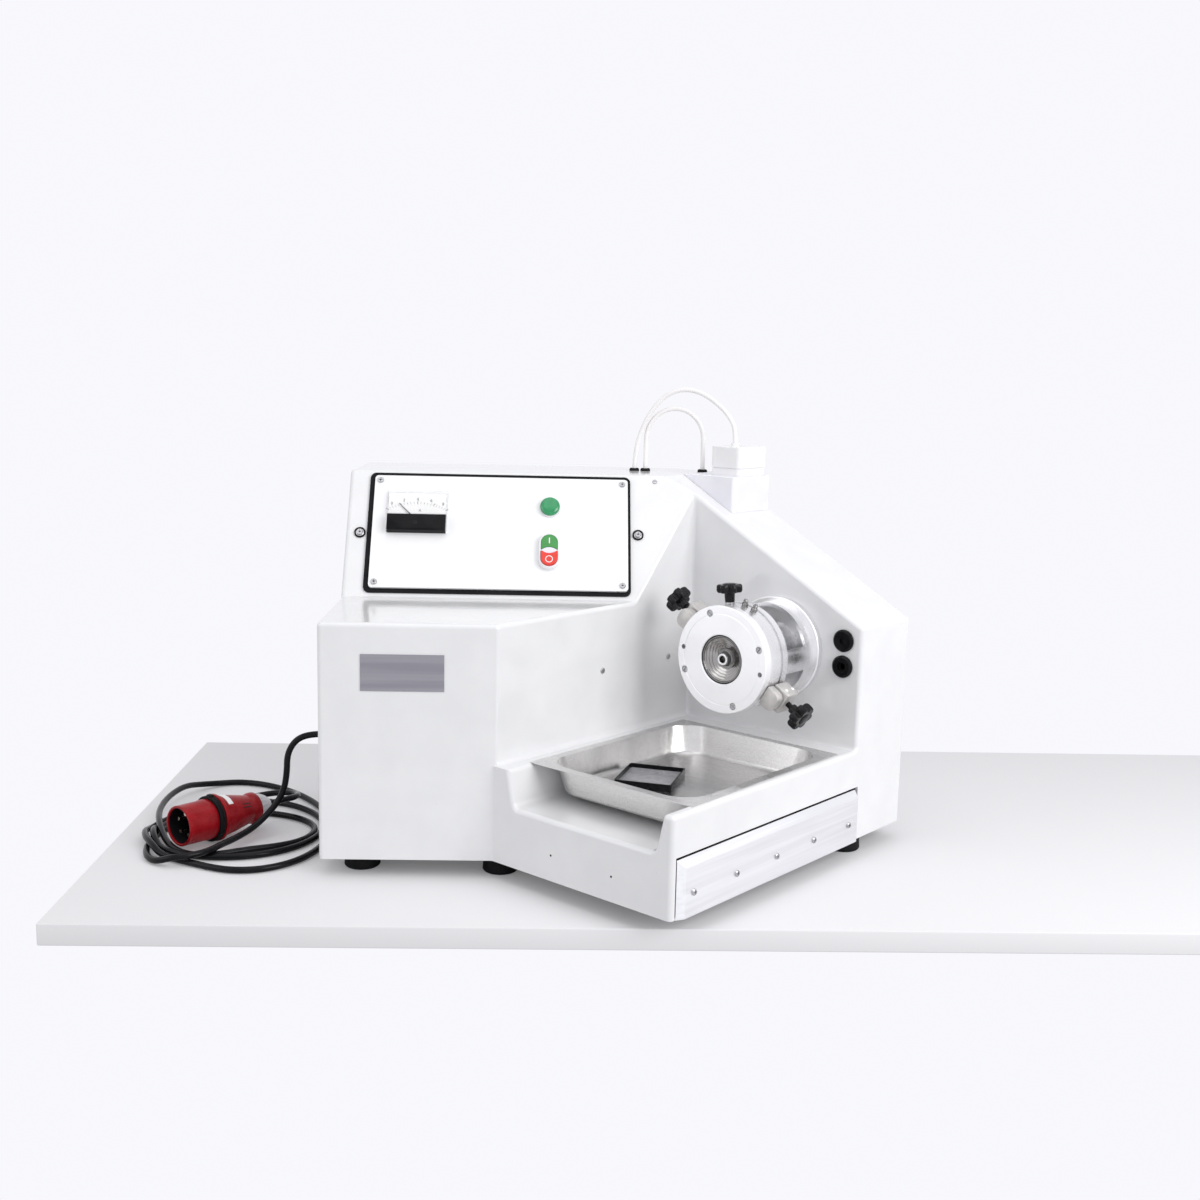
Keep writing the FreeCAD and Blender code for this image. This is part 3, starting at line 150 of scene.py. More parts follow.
def addNode(tree, kind, inputs=None, **settings):
    made = tree.nodes.new(kind)
    for key, value in settings.items():
        setattr(made, key, value)
    for key, value in (inputs or {}).items():
        if isinstance(value, bpy.types.NodeSocket):
            tree.links.new(value, made.inputs[key])
        else:
            made.inputs[key].default_value = value
    return made


def makeStudio():
    world = bpy.data.worlds.new("studio")
    bpy.context.scene.world = world
    world.use_nodes = True
    tree = world.node_tree
    tree.nodes.clear()
    ray = addNode(tree, "ShaderNodeLightPath")
    mirrored = addNode(tree, "ShaderNodeMath", {0: ray.outputs["Is Glossy Ray"],
                                                1: ray.outputs["Is Transmission Ray"]},
                       operation="MAXIMUM")
    seen = addNode(tree, "ShaderNodeMath", {0: ray.outputs["Is Camera Ray"],
                                            1: mirrored.outputs[0]}, operation="MAXIMUM")
    level = Vector(studio["worldTint"]) * studio["worldLight"]
    light = addNode(tree, "ShaderNodeBackground", {"Color": (*level, 1)})
    shown = addNode(tree, "ShaderNodeBackground", {"Color": (*studio["backdrop"], 1)})
    mixed = addNode(tree, "ShaderNodeMixShader", {0: seen.outputs[0], 1: light.outputs[0],
                                                  2: shown.outputs[0]})
    addNode(tree, "ShaderNodeOutputWorld", {"Surface": mixed.outputs[0]})
    target = bodyPlace @ Vector(studio["aim"])
    for name, place, size, power in studio["lamps"]:
        lamp = bpy.data.lights.new(name, "AREA")
        lamp.shape = "SQUARE"
        lamp.size = size
        lamp.energy = power
        stand = bpy.data.objects.new(name, lamp)
        stand.location = bodyPlace @ Vector(place)
        stand.rotation_euler = (target - stand.location).to_track_quat("-Z", "Y").to_euler()
        bpy.context.scene.collection.objects.link(stand)


def makeTable():
    low = Vector((table["left"], table["front"], -table["thick"]))
    high = Vector((table["right"], table["back"], 0))
    form = bmesh.new()
    bmesh.ops.create_cube(form, size=1)
    bmesh.ops.scale(form, vec=high - low, verts=form.verts)
    bmesh.ops.translate(form, vec=(high + low) / 2, verts=form.verts)
    bmesh.ops.bevel(form, geom=form.edges, offset=table["edge"], affect="EDGES", segments=3,
                    profile=0.5, material=-1)
    mesh = bpy.data.meshes.new("tableTop")
    form.to_mesh(mesh)
    form.free()
    mesh.transform(bodyPlace)
    mesh.shade_smooth()
    mesh.set_sharp_from_angle(angle=radians(40))
    top = bpy.data.objects.new("tableTop", mesh)
    bpy.context.scene.collection.objects.link(top)
    material = bpy.data.materials.new("paleTable")
    material.use_nodes = True
    tree = material.node_tree
    tree.nodes.clear()
    colour = (*studio["table"], 1)
    matt = addNode(tree, "ShaderNodeBsdfDiffuse", {"Color": colour})
    glow = addNode(tree, "ShaderNodeEmission", {"Color": (*studio["glowColour"], 1),
                                                "Strength": 1})
    ray = addNode(tree, "ShaderNodeLightPath")
    share = addNode(tree, "ShaderNodeMath", {0: ray.outputs["Is Camera Ray"],
                                             1: studio["tableGlow"]}, operation="MULTIPLY")
    mixed = addNode(tree, "ShaderNodeMixShader", {0: share.outputs[0], 1: matt.outputs[0],
                                                  2: glow.outputs[0]})
    addNode(tree, "ShaderNodeOutputMaterial", {"Surface": mixed.outputs[0]})
    mesh.materials.append(material)


makeStudio()
makeTable()

print("finishes")
speck = {"scale": 0.045, "full": 0.012, "gone": 0.03, "colour": (0.2, 0.19, 0.18, 1)}


def patternPlace(tree, place, stretch):
    source = addNode(tree, "ShaderNodeTexCoord")
    back = place.inverted()
    turn = back.to_3x3().normalized()
    mapping = addNode(tree, "ShaderNodeMapping", {
        "Vector": source.outputs["Object"], "Scale": (1000, 1000, 1000),
        "Rotation": turn.to_euler(), "Location": back.translation})
    stretched = addNode(tree, "ShaderNodeVectorMath", {0: mapping.outputs[0], 1: stretch},
                        operation="MULTIPLY")
    return mapping.outputs[0], stretched.outputs[0]


# low and high are the two colours that drift over a surface, and rough its range of roughness.
# patch and grain are the scales of the large and the fine pattern per millimetre; depth and wave
# are the heights of the fine and the slow unevenness in millimetres; clear is transmission,
# solid is alpha, soft is subsurface light, shine is the specular level, specks are small dark
# spots and rings are turning marks about the place's axis.
def makeFinish(name, low, high, rough, patch=0.02, grain=0.8, depth=0.01, wave=0.0, metal=0.0,
               coat=0.0, clear=0.0, solid=1.0, soft=0.0, shine=0.5, specks=0.0, rings=0.0,
               place=bodyPlace, stretch=(1, 1, 1)):
    material = bpy.data.materials.new(name)
    material.use_nodes = True
    tree = material.node_tree
    shader = tree.nodes["Principled BSDF"]
    shader.inputs["Metallic"].default_value = metal
    shader.inputs["Coat Weight"].default_value = coat
    shader.inputs["Coat Roughness"].default_value = 0.06
    shader.inputs["Specular IOR Level"].default_value = shine
    shader.inputs["Alpha"].default_value = solid
    shader.inputs["Transmission Weight"].default_value = clear
    shader.inputs["Subsurface Weight"].default_value = soft
    shader.inputs["Subsurface Radius"].default_value = (0.006, 0.006, 0.007)
    plain, stretched = patternPlace(tree, place, stretch)
    patches = addNode(tree, "ShaderNodeTexNoise", {"Vector": stretched, "Scale": patch,
                                                   "Detail": 4})
    grains = addNode(tree, "ShaderNodeTexNoise", {"Vector": stretched, "Scale": grain,
                                                  "Detail": 3})
    ramp = addNode(tree, "ShaderNodeValToRGB", {"Fac": patches.outputs["Fac"]})
    ramp.color_ramp.elements[0].position = 0.35
    ramp.color_ramp.elements[1].position = 0.65
    ramp.color_ramp.elements[0].color = (*low, 1)
    ramp.color_ramp.elements[1].color = (*high, 1)
    colour = ramp.outputs["Color"]
    if specks:
        cells = addNode(tree, "ShaderNodeTexVoronoi", {"Vector": plain,
                                                       "Scale": speck["scale"]})
        spot = addNode(tree, "ShaderNodeMapRange", {
            "Value": cells.outputs["Distance"], "From Min": speck["full"],
            "From Max": speck["gone"], "To Min": specks, "To Max": 0.0})
        dark = addNode(tree, "ShaderNodeMix", {"Factor": spot.outputs[0], 6: colour,
                                               7: speck["colour"]}, data_type="RGBA")
        colour = dark.outputs[2]
    tree.links.new(colour, shader.inputs["Base Color"])
    both = addNode(tree, "ShaderNodeMath", {0: patches.outputs["Fac"],
                                            1: grains.outputs["Fac"]}, operation="ADD")
    gloss = addNode(tree, "ShaderNodeMapRange", {"Value": both.outputs[0], "From Min": 0.75,
                                                 "From Max": 1.25, "To Min": rough[0],
                                                 "To Max": rough[1]})
    tree.links.new(gloss.outputs[0], shader.inputs["Roughness"])
    height = grains.outputs["Fac"]
    if rings:
        lines = addNode(tree, "ShaderNodeTexWave", {"Vector": plain, "Scale": rings,
                                                    "Distortion": 0.6, "Detail": 2},
                        wave_type="RINGS", rings_direction="Z")
        height = lines.outputs["Fac"]
    bump = addNode(tree, "ShaderNodeBump", {"Height": height, "Distance": depth * 0.001,
                                            "Strength": 1.0})
    if wave:
        swell = addNode(tree, "ShaderNodeTexNoise", {"Vector": plain, "Scale": 0.011,
                                                     "Detail": 1})
        slow = addNode(tree, "ShaderNodeBump", {"Height": swell.outputs["Fac"],
                                                "Distance": wave * 0.001, "Strength": 1.0})
        tree.links.new(slow.outputs[0], bump.inputs["Normal"])
    tree.links.new(bump.outputs[0], shader.inputs["Normal"])
    return material


lamp = {"centre": (292.5, 142.0), "base": 7.0}
gelcoat = makeFinish("gelcoat", (0.785, 0.788, 0.798), (0.815, 0.817, 0.826), (0.13, 0.2),
                     depth=0.003, grain=0.35, wave=0.4, coat=0.3, specks=0.3)
panelPaint = makeFinish("panelPaint", (0.88, 0.883, 0.89), (0.9, 0.902, 0.91), (0.3, 0.4),
                        grain=0.9, depth=0.012, place=panelPlace)
blackRubber = makeFinish("blackRubber", (0.005, 0.005, 0.006), (0.012, 0.012, 0.013),
                         (0.5, 0.7), grain=1.2, depth=0.03, shine=0.12)
brushedPlate = makeFinish("brushedPlate", (0.86, 0.86, 0.88), (0.93, 0.93, 0.95), (0.32, 0.46),
                          patch=0.06, grain=2.4, depth=0.006, metal=1, place=trayPlace,
                          stretch=(3, 0.08, 3))
platedScrew = makeFinish("platedScrew", (0.4, 0.4, 0.41), (0.55, 0.55, 0.56), (0.22, 0.36),
                         patch=0.2, metal=1)
darkSteel = makeFinish("darkSteel", (0.2, 0.195, 0.19), (0.3, 0.295, 0.29), (0.1, 0.2),
                       patch=0.02, rings=0.7, depth=0.03, metal=1, place=millPlace)
bowlSteel = makeFinish("bowlSteel", (0.3, 0.29, 0.28), (0.42, 0.41, 0.4), (0.08, 0.16),
                       patch=0.04, rings=0.5, depth=0.006, metal=1, place=millPlace)
turnedSteel = makeFinish("turnedSteel", (0.82, 0.82, 0.83), (0.9, 0.9, 0.91), (0.22, 0.36),
                         rings=0.35, depth=0.004, metal=1, place=millPlace)
satinSteel = makeFinish("satinSteel", (0.93, 0.93, 0.94), (0.97, 0.97, 0.98), (0.4, 0.52),
                        rings=0.5, depth=0.003, metal=0.85, place=millPlace)
castClaw = makeFinish("castClaw", (0.5, 0.485, 0.47), (0.62, 0.6, 0.58), (0.34, 0.46),
                      patch=0.06, grain=0.7, depth=0.03, metal=0.4)
blackKnob = makeFinish("blackKnob", (0.004, 0.004, 0.005), (0.008, 0.008, 0.009),
                       (0.1, 0.2), patch=0.15, grain=1.4, depth=0.004, shine=0.2)
panSteel = makeFinish("panSteel", (0.66, 0.65, 0.64), (0.76, 0.75, 0.74), (0.2, 0.34),
                      patch=0.012, grain=1.6, depth=0.004, wave=0.3, metal=1,
                      place=trayPlace, stretch=(0.12, 2, 2))
tankPlastic = makeFinish("tankPlastic", (0.82, 0.815, 0.88), (0.88, 0.875, 0.93),
                         (0.32, 0.42), grain=0.5, depth=0.015, soft=0.3)
bottlePlastic = makeFinish("bottlePlastic", (0.87, 0.87, 0.88), (0.92, 0.92, 0.925),
                           (0.3, 0.42), grain=0.5, depth=0.015, soft=0.3)
hosePlastic = makeFinish("hosePlastic", (0.87, 0.85, 0.845), (0.92, 0.905, 0.9), (0.34, 0.42),
                         patch=0.03, grain=0.1, depth=0.0005)
cablePlastic = makeFinish("cablePlastic", (0.004, 0.004, 0.005), (0.009, 0.009, 0.011),
                          (0.16, 0.26), patch=0.04, grain=0.5, depth=0.004, shine=0.15)
redPlastic = makeFinish("redPlastic", (0.26, 0.004, 0.008), (0.34, 0.008, 0.014),
                        (0.22, 0.34), patch=0.05, grain=1.1, depth=0.008, shine=0.22)
# a darker copy of the red plastic: painted shade, used for the plug's two slots
redPaintedShade = makeFinish("redPaintedShade", (0.05, 0.001, 0.002), (0.08, 0.002, 0.003), (0.4, 0.5))
greyPlastic = makeFinish("greyPlastic", (0.6, 0.6, 0.62), (0.7, 0.7, 0.72), (0.35, 0.45),
                         grain=0.9, depth=0.02)
darkPlastic = makeFinish("darkPlastic", (0.004, 0.004, 0.005), (0.008, 0.008, 0.009),
                         (0.08, 0.16), patch=0.05, grain=1.0, depth=0.002, shine=0.12)
clearAcrylic = makeFinish("clearAcrylic", (0.97, 0.975, 0.98), (0.99, 0.99, 1.0),
                          (0.01, 0.04), grain=0.2, depth=0.001, clear=1.0, solid=0.13)
dialEnamel = makeFinish("dialEnamel", (0.87, 0.87, 0.86), (0.9, 0.9, 0.9), (0.4, 0.5),
                        depth=0.004)
# black for the dial's print, the needle and the zero screw, and also painted shade: the screw slots,
# the tray holes and the plug's recess get it because they lie in shade
inkAndShadeBlack = makeFinish("inkAndShadeBlack", (0.006, 0.006, 0.008), (0.012, 0.012, 0.014), (0.4, 0.5),
                      shine=0.2)
whiteMark = makeFinish("whiteMark", (0.86, 0.86, 0.86), (0.9, 0.9, 0.9), (0.35, 0.45))
bezelPlastic = makeFinish("bezelPlastic", (0.8, 0.8, 0.82), (0.86, 0.86, 0.88), (0.25, 0.35),
                          grain=1.0, depth=0.006)
greenLens = makeFinish("greenLens", (0.008, 0.24, 0.08), (0.014, 0.32, 0.11), (0.14, 0.22),
                       patch=0.1, rings=0.4, depth=0.01, coat=0.4,
                       place=panelPlace @ Matrix.Translation((*lamp["centre"], 0)))
greenCap = makeFinish("greenCap", (0.04, 0.25, 0.05), (0.055, 0.31, 0.07), (0.22, 0.32),
                      grain=1.2, depth=0.008)
redCap = makeFinish("redCap", (0.7, 0.03, 0.02), (0.78, 0.045, 0.03), (0.22, 0.32),
                    grain=1.2, depth=0.008)
milkyLens = makeFinish("milkyLens", (0.74, 0.74, 0.84), (0.8, 0.8, 0.88), (0.12, 0.2),
                       soft=0.3, coat=0.4)
platePaint = makeFinish("platePaint", (0.27, 0.265, 0.3), (0.33, 0.325, 0.36), (0.3, 0.42),
                        patch=0.05, grain=1.5, depth=0.006, metal=0.5, stretch=(0.06, 1, 2))
motorPaint = makeFinish("motorPaint", (0.1, 0.14, 0.2), (0.13, 0.18, 0.25), (0.35, 0.5),
                        grain=0.6, depth=0.05)
castIron = makeFinish("castIron", (0.1, 0.1, 0.105), (0.16, 0.16, 0.165), (0.4, 0.55),
                      grain=0.8, depth=0.06, metal=0.7)
brassPin = makeFinish("brassPin", (0.4, 0.37, 0.33), (0.55, 0.51, 0.46), (0.2, 0.3),
                      patch=0.2, metal=1)
meshSteel = makeFinish("meshSteel", (0.36, 0.36, 0.38), (0.48, 0.48, 0.5), (0.35, 0.5),
                       patch=0.1, metal=0.5)

nodeFinish = {
    "hood": gelcoat, "base_frame": castIron, "feet": blackRubber, "side_cover": brushedPlate,
    "housing_screws": platedScrew, "panel_gasket": blackRubber, "panel_plate": panelPaint,
    "panel_screws": platedScrew, "side_fasteners": platedScrew, "meter_case": darkPlastic,
    "meter_dial": dialEnamel, "meter_window": clearAcrylic, "meter_needle": inkAndShadeBlack,
    "lamp_lens": greenLens, "button_bezel": bezelPlastic, "button_window": milkyLens,
    "start_button": greenCap, "stop_button": redCap, "contact_blocks": darkPlastic,
    "name_plate": platePaint, "drive_flange": turnedSteel, "lantern": turnedSteel,
    "seal_housing": turnedSteel, "shaft_seal": blackRubber, "grinding_cylinder": turnedSteel,
    "front_cover": satinSteel, "cover_screws": platedScrew, "inlet_insert": darkSteel,
    "inlet_seal": blackRubber, "cooling_nipples": darkSteel, "filling_knob": blackKnob,
    "clamp_claw_upper": castClaw, "clamp_claw_lower": castClaw, "clamp_knob_upper": blackKnob,
    "clamp_knob_lower": blackKnob, "water_couplings": darkPlastic,
    "bearing_housing": castIron, "ball_bearings": turnedSteel, "agitator_shaft": turnedSteel,
    "agitator_discs": satinSteel, "shaft_pulley": castIron, "motor_pulley": castIron,
    "drive_belt": blackRubber, "motor_frame": motorPaint, "rotor_shaft": castIron,
    "pan": panSteel, "strainer": darkPlastic, "tank_holder": tankPlastic,
    "tank_bottle": bottlePlastic, "bottle_cap": bottlePlastic, "hose_grommets": blackRubber,
    "hose_long": hosePlastic, "hose_short": hosePlastic, "cable_gland": blackRubber,
    "mains_cable": cablePlastic, "cable_coil": cablePlastic, "plug_body": redPlastic,
    "plug_ring": blackRubber, "plug_pins": brassPin, "plug_gland": greyPlastic,
}
for nodeName, finish in nodeFinish.items():
    nodeMesh = frame["nodes"][nodeName].data
    nodeMesh.materials.clear()
    nodeMesh.materials.append(finish)


def lathe(profile, steps=72):
    form = bmesh.new()
    points = [form.verts.new((radius, 0, height)) for radius, height in profile]
    lines = [form.edges.new(pair) for pair in zip(points, points[1:])]
    bmesh.ops.spin(form, geom=points + lines, cent=(0, 0, 0), axis=(0, 0, 1), angle=2 * pi,
                   steps=steps, use_merge=True)
    bmesh.ops.remove_doubles(form, verts=form.verts, dist=0.005)
    return form


def block(size, centre=(0, 0, 0)):
    form = bmesh.new()
    bmesh.ops.create_cube(form, size=1)
    bmesh.ops.scale(form, vec=size, verts=form.verts)
    bmesh.ops.translate(form, vec=centre, verts=form.verts)
    return form


def soften(form, width, segments=2, sharp=28):
    edges = [e for e in form.edges
             if len(e.link_faces) == 2 and e.calc_face_angle() > radians(sharp)]
    bmesh.ops.bevel(form, geom=edges, offset=width, affect="EDGES", segments=segments,
                    profile=0.5, material=-1, clamp_overlap=True)
    return form


def shift(form, x, y, z):
    bmesh.ops.translate(form, vec=(x, y, z), verts=form.verts)
    return form


def gather(forms):
    whole = forms[0]
    for form in forms[1:]:
        mesh = bpy.data.meshes.new("part")
        form.to_mesh(mesh)
        form.free()
        whole.from_mesh(mesh)
        bpy.data.meshes.remove(mesh)
    return whole


def addPiece(name, form, place, finish, node, stands=True, crease=32):
    bmesh.ops.recalc_face_normals(form, faces=form.faces)
    mesh = bpy.data.meshes.new(name)
    form.to_mesh(mesh)
    form.free()
    mesh.transform(place)
    mesh.materials.append(finish)
    mesh.shade_smooth()
    mesh.set_sharp_from_angle(angle=radians(crease))
    piece = bpy.data.objects.new(name, mesh)
    bpy.context.scene.collection.objects.link(piece)
    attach(piece, frame["nodes"][node]["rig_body"])
    if stands:
        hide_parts(node)
    return piece


def dressNode(node, width, segments=2):
    form = bmesh.new()
    form.from_mesh(frame["nodes"][node].data)
    bmesh.ops.remove_doubles(form, verts=form.verts, dist=2e-6)
    bmesh.ops.dissolve_limit(form, angle_limit=radians(0.4), verts=form.verts,
                             edges=form.edges)
    piece = addPiece(node + "Dressed", form, Matrix.Identity(4), nodeFinish[node], node)
    bevel = piece.modifiers.new("edges", "BEVEL")
    bevel.width = width * 0.001
    bevel.segments = segments
    bevel.limit_method = "ANGLE"
    bevel.angle_limit = radians(38)
    piece.modifiers.new("shading", "WEIGHTED_NORMAL").keep_sharp = True
    return piece


print("edges of the turned and moulded pieces")
edgeWidths = {
    "panel_plate": 0.6, "name_plate": 0.25, "side_cover": 0.5, "drive_flange": 0.4,
    "lantern": 0.5, "grinding_cylinder": 0.5, "front_cover": 0.5, "inlet_insert": 0.3,
    "button_bezel": 0.4, "start_button": 0.5, "stop_button": 0.7, "button_window": 0.5,
    "tank_holder": 0.6, "tank_bottle": 1.0, "bottle_cap": 1.5, "water_couplings": 0.4,
    "feet": 0.8,
}
for nodeName, edgeWidth in edgeWidths.items():
    dressNode(nodeName, edgeWidth)

print("meter")
meter = {
    "corner": (57.5, 97.7), "size": (88.0, 64.5), "base": 7.0, "face": 19.0, "sill": 26.0,
    "wall": 1.6, "middle": (101.5, 115.7), "tickArc": (52.0, 26.5), "tickSpan": (141, 39),
    "numberArc": (60.0, 34.0), "numberSpan": (128, 52), "numbers": ("0", "2", "4", "6", "8"),
    "ticks": 20, "numberHeight": 6.4,
    "majorTick": (4.6, 0.7), "minorTick": (2.8, 0.45), "dialFace": 3.85,
    "unitHeight": 6.0, "unitPlace": (4, 16),     # from the needle's pivot
    "coverBevel": 2.4, "sillBevel": 2.2, "strip": 1.7, "stripStep": 0.6,
    "backThick": 3, "backInset": 0.3, "sillInset": 1.9, "sillGap": 0.4,
    "barrelRadius": 28, "barrelDepth": 24, "zeroScrew": (43, 11),
}


def makeMeterCover():
    (x0, y0), (wide, tall) = meter["corner"], meter["size"]
    depth = meter["face"] - meter["base"] - meter["backThick"]
    high = tall - meter["sill"]
    cover = block((wide, high, depth), (x0 + wide / 2, y0 + meter["sill"] + high / 2,
                                        meter["face"] - depth / 2))
    back = [f for f in cover.faces if f.normal.z < -0.9]
    bmesh.ops.delete(cover, geom=back, context="FACES_ONLY")
    front = [e for e in cover.edges if all(v.co.z > meter["face"] - 0.1 for v in e.verts)]
    bmesh.ops.bevel(cover, geom=front, offset=meter["coverBevel"], affect="EDGES", segments=1,
                    profile=0.5, material=-1)
    bmesh.ops.recalc_face_normals(cover, faces=cover.faces)
    bmesh.ops.solidify(cover, geom=cover.faces, thickness=meter["wall"])
    strip = meter["strip"]
    strips = [block((strip, meter["sill"], depth),
                    (x, y0 + meter["sill"] / 2, meter["face"] - depth / 2 - meter["stripStep"]))
              for x in (x0 + strip / 2, x0 + wide - strip / 2)]
    addPiece("meterCover", gather([cover] + strips), panelPlace, clearAcrylic, "meter_window",
             crease=20)


def makeMeterCase():
    (x0, y0), (wide, tall) = meter["corner"], meter["size"]
    middle = (x0 + wide / 2, y0 + tall / 2)
    inset, thick, gap = meter["backInset"], meter["backThick"], meter["sillGap"]
    back = soften(block((wide - 2 * inset, tall - 2 * inset, thick),
                        (*middle, meter["base"] + thick / 2)), 0.5)
    addPiece("meterBack", back, panelPlace, bezelPlastic, "meter_case", stands=False)
    deep = meter["face"] - meter["base"]
    sill = block((wide - 2 * meter["sillInset"], meter["sill"] - gap, deep),
                 (middle[0], y0 + meter["sill"] / 2 - gap / 2, meter["base"] + deep / 2))
    front = [e for e in sill.edges if all(v.co.z > meter["face"] - 0.1 for v in e.verts)]
    bmesh.ops.bevel(sill, geom=front, offset=meter["sillBevel"], affect="EDGES", segments=3,
                    profile=0.5, material=-1)
    radius, low, high = meter["barrelRadius"], -meter["barrelDepth"], meter["base"] + 1
    barrel = shift(lathe([(0, low), (radius, low), (radius, high), (0, high)]), *middle, 0)
    addPiece("meterCase", gather([sill, barrel]), panelPlace, darkPlastic, "meter_case")
    screw = lathe([(0, 0.7), (2.6, 0.7), (3.1, 0.3), (3.1, -0.4), (0, -0.4)], 32)
    slot = block((4.6, 0.8, 0.3), (0, 0, 0.72))
    right, up = meter["zeroScrew"]
    screw = shift(gather([screw, slot]), x0 + right, y0 + up, meter["face"])
    addPiece("meterZeroScrew", screw, panelPlace, inkAndShadeBlack, "meter_case", stands=False)


def addLettering(name, text, height, place, finish, node, thick=0.12):
    curve = bpy.data.curves.new(name, "FONT")
    curve.body = text
    curve.size = height
    curve.align_x, curve.align_y = "CENTER", "CENTER"
    curve.extrude = thick / 2
    holder = bpy.data.objects.new(name, curve)
    bpy.context.scene.collection.objects.link(holder)
    shown = bpy.data.meshes.new_from_object(holder)
    bpy.data.objects.remove(holder)
    form = bmesh.new()
    form.from_mesh(shown)
    bmesh.ops.remove_doubles(form, verts=form.verts, dist=0.001)
    addPiece(name, form, place, finish, node, stands=False)


def arcPoint(arc, span, share):
    angle = radians(span[0] + (span[1] - span[0]) * share)
    return Vector((arc[0] * cos(angle), arc[1] * sin(angle), 0)) + Vector((*meter["middle"], 0))


def makeDialMarks():
    top = meter["base"] + meter["dialFace"]
    marks = []
    for index in range(meter["ticks"] + 1):
        major = index % (meter["ticks"] // 4) == 0
        long, wide = meter["majorTick"] if major else meter["minorTick"]
        foot = arcPoint(meter["tickArc"], meter["tickSpan"], index / meter["ticks"])
        lean = foot - Vector((*meter["middle"], 0))
        turn = -Vector((1, 0)).angle_signed(lean.xy)
        tick = block((long, wide, 0.12), (long / 2, 0, 0))
        bmesh.ops.rotate(tick, cent=(0, 0, 0), verts=tick.verts,
                         matrix=Matrix.Rotation(turn, 3, "Z"))
        marks.append(shift(tick, foot.x, foot.y, top))
    addPiece("dialTicks", gather(marks), panelPlace, inkAndShadeBlack, "meter_dial", stands=False)
    last = len(meter["numbers"]) - 1
    for index, number in enumerate(meter["numbers"]):
        spot = arcPoint(meter["numberArc"], meter["numberSpan"], index / last)
        addLettering("dialNumber" + number, number, meter["numberHeight"],
                     panelPlace @ Matrix.Translation((spot.x, spot.y, top)), inkAndShadeBlack,
                     "meter_dial")
    unit = Vector((*meter["middle"], top)) + Vector((*meter["unitPlace"], 0))
    addLettering("dialUnit", "A", meter["unitHeight"], panelPlace @ Matrix.Translation(unit),
                 inkAndShadeBlack, "meter_dial")


makeMeterCover()
makeMeterCase()
makeDialMarks()

print("lamp and push-buttons")
twin = {"centre": (292.5, 70.5), "startFace": 16.0, "stopFace": 18.5, "reach": 15.0}


def makeLamp():
    lens = lathe([(0, 9.8), (8.6, 9.7), (9.8, 9.3), (10.3, 8.6), (11.2, 8.3), (12.8, 7.6),
                  (13.9, 6.4), (14.2, 5.0), (14.2, 0), (10.9, -0.2), (10.9, -34), (0, -34)], 96)
    addPiece("lampLens", shift(lens, *lamp["centre"], lamp["base"]), panelPlace, greenLens,
             "lamp_lens")
    bezel = lathe([(14.25, 0), (15.8, 0), (15.8, 2.0), (15.2, 2.8), (14.25, 3), (14.25, 0)], 96)
    addPiece("lampBezel", shift(bezel, *lamp["centre"], lamp["base"]), panelPlace,
             bezelPlastic, "lamp_lens", stands=False)


def makeButtonMarks():
    x, y = twin["centre"]
    bar = soften(block((1.5, 9.0, 0.3), (x, y + twin["reach"], twin["startFace"] + 0.12)), 0.1)
    addPiece("startMark", bar, panelPlace, whiteMark, "start_button", stands=False)
    hoop = lathe([(4.3, -0.05), (5.4, -0.05), (5.4, 0.25), (4.3, 0.25), (4.3, -0.05)], 48)
    addPiece("stopMark", shift(hoop, x, y - twin["reach"], twin["stopFace"]), panelPlace,
             whiteMark, "stop_button", stands=False)


makeLamp()
makeButtonMarks()

print("clamps and star knobs")
clamp = {
    "angles": {"upper": 148.0, "lower": -32.0},
    "low": 73.9, "high": 99.0, "back": 83.0, "front": 126.0, "boltPlace": 98.5,
    "width": 33.0, "knobStart": 107.0,
    # along the mill's axis, across it and outwards
    "body": 27, "lug": (13, 28, 23), "bridge": (12, 16, 12), "jaw": (2.6, 25, 7),
    "lugRound": 10, "pins": (6, 20),
}
clampStar = {"radius": 19.5, "lobes": 6, "depth": 0.3, "neck": 10.0, "height": 14.0}
fillerStar = {"radius": 17.5, "lobes": 6, "depth": 0.28, "neck": 12.5, "height": 12.0}
fillerPlug = {"angle": 95.0, "place": 112.0, "seat": 75.8}


def radialPlace(angle):
    turn = radians(angle)
    return millPlace @ axes((0, 0, 0), (0, 0, 1), (sin(turn), -cos(turn), 0),
                            (cos(turn), sin(turn), 0))


def starForm(star, stem):
    neck, top, full = star["neck"], star["neck"] + star["height"], star["radius"]
    form = lathe([(0, -stem), (3.9, -stem), (3.9, -0.2), (6.0, -0.2), (6.6, 0.6), (7.2, neck - 1),
                  (8.4, neck), (full - 1.8, neck + 0.3), (full - 0.5, neck + 1.6), (full, neck + 3.4),
                  (full, top - 3.4), (full - 0.6, top - 1.5), (full - 2.2, top - 0.3),
                  (9.5, top - 0.4), (8.6, top + 0.5), (6.4, top + 1.2), (3, top + 1.4),
                  (0, top + 1.4)], 96)
    for vert in form.verts:
        reach = vert.co.xy.length
        if reach > 8.5 and vert.co.z > neck - 0.5:
            swing = 0.5 - 0.5 * cos(vert.co.xy.angle_signed(Vector((1, 0))) * star["lobes"])
            share = (reach - 8.5) / (full - 8.5)
            vert.co.xy *= 1 - star["depth"] * share * swing ** 1.6
    return form


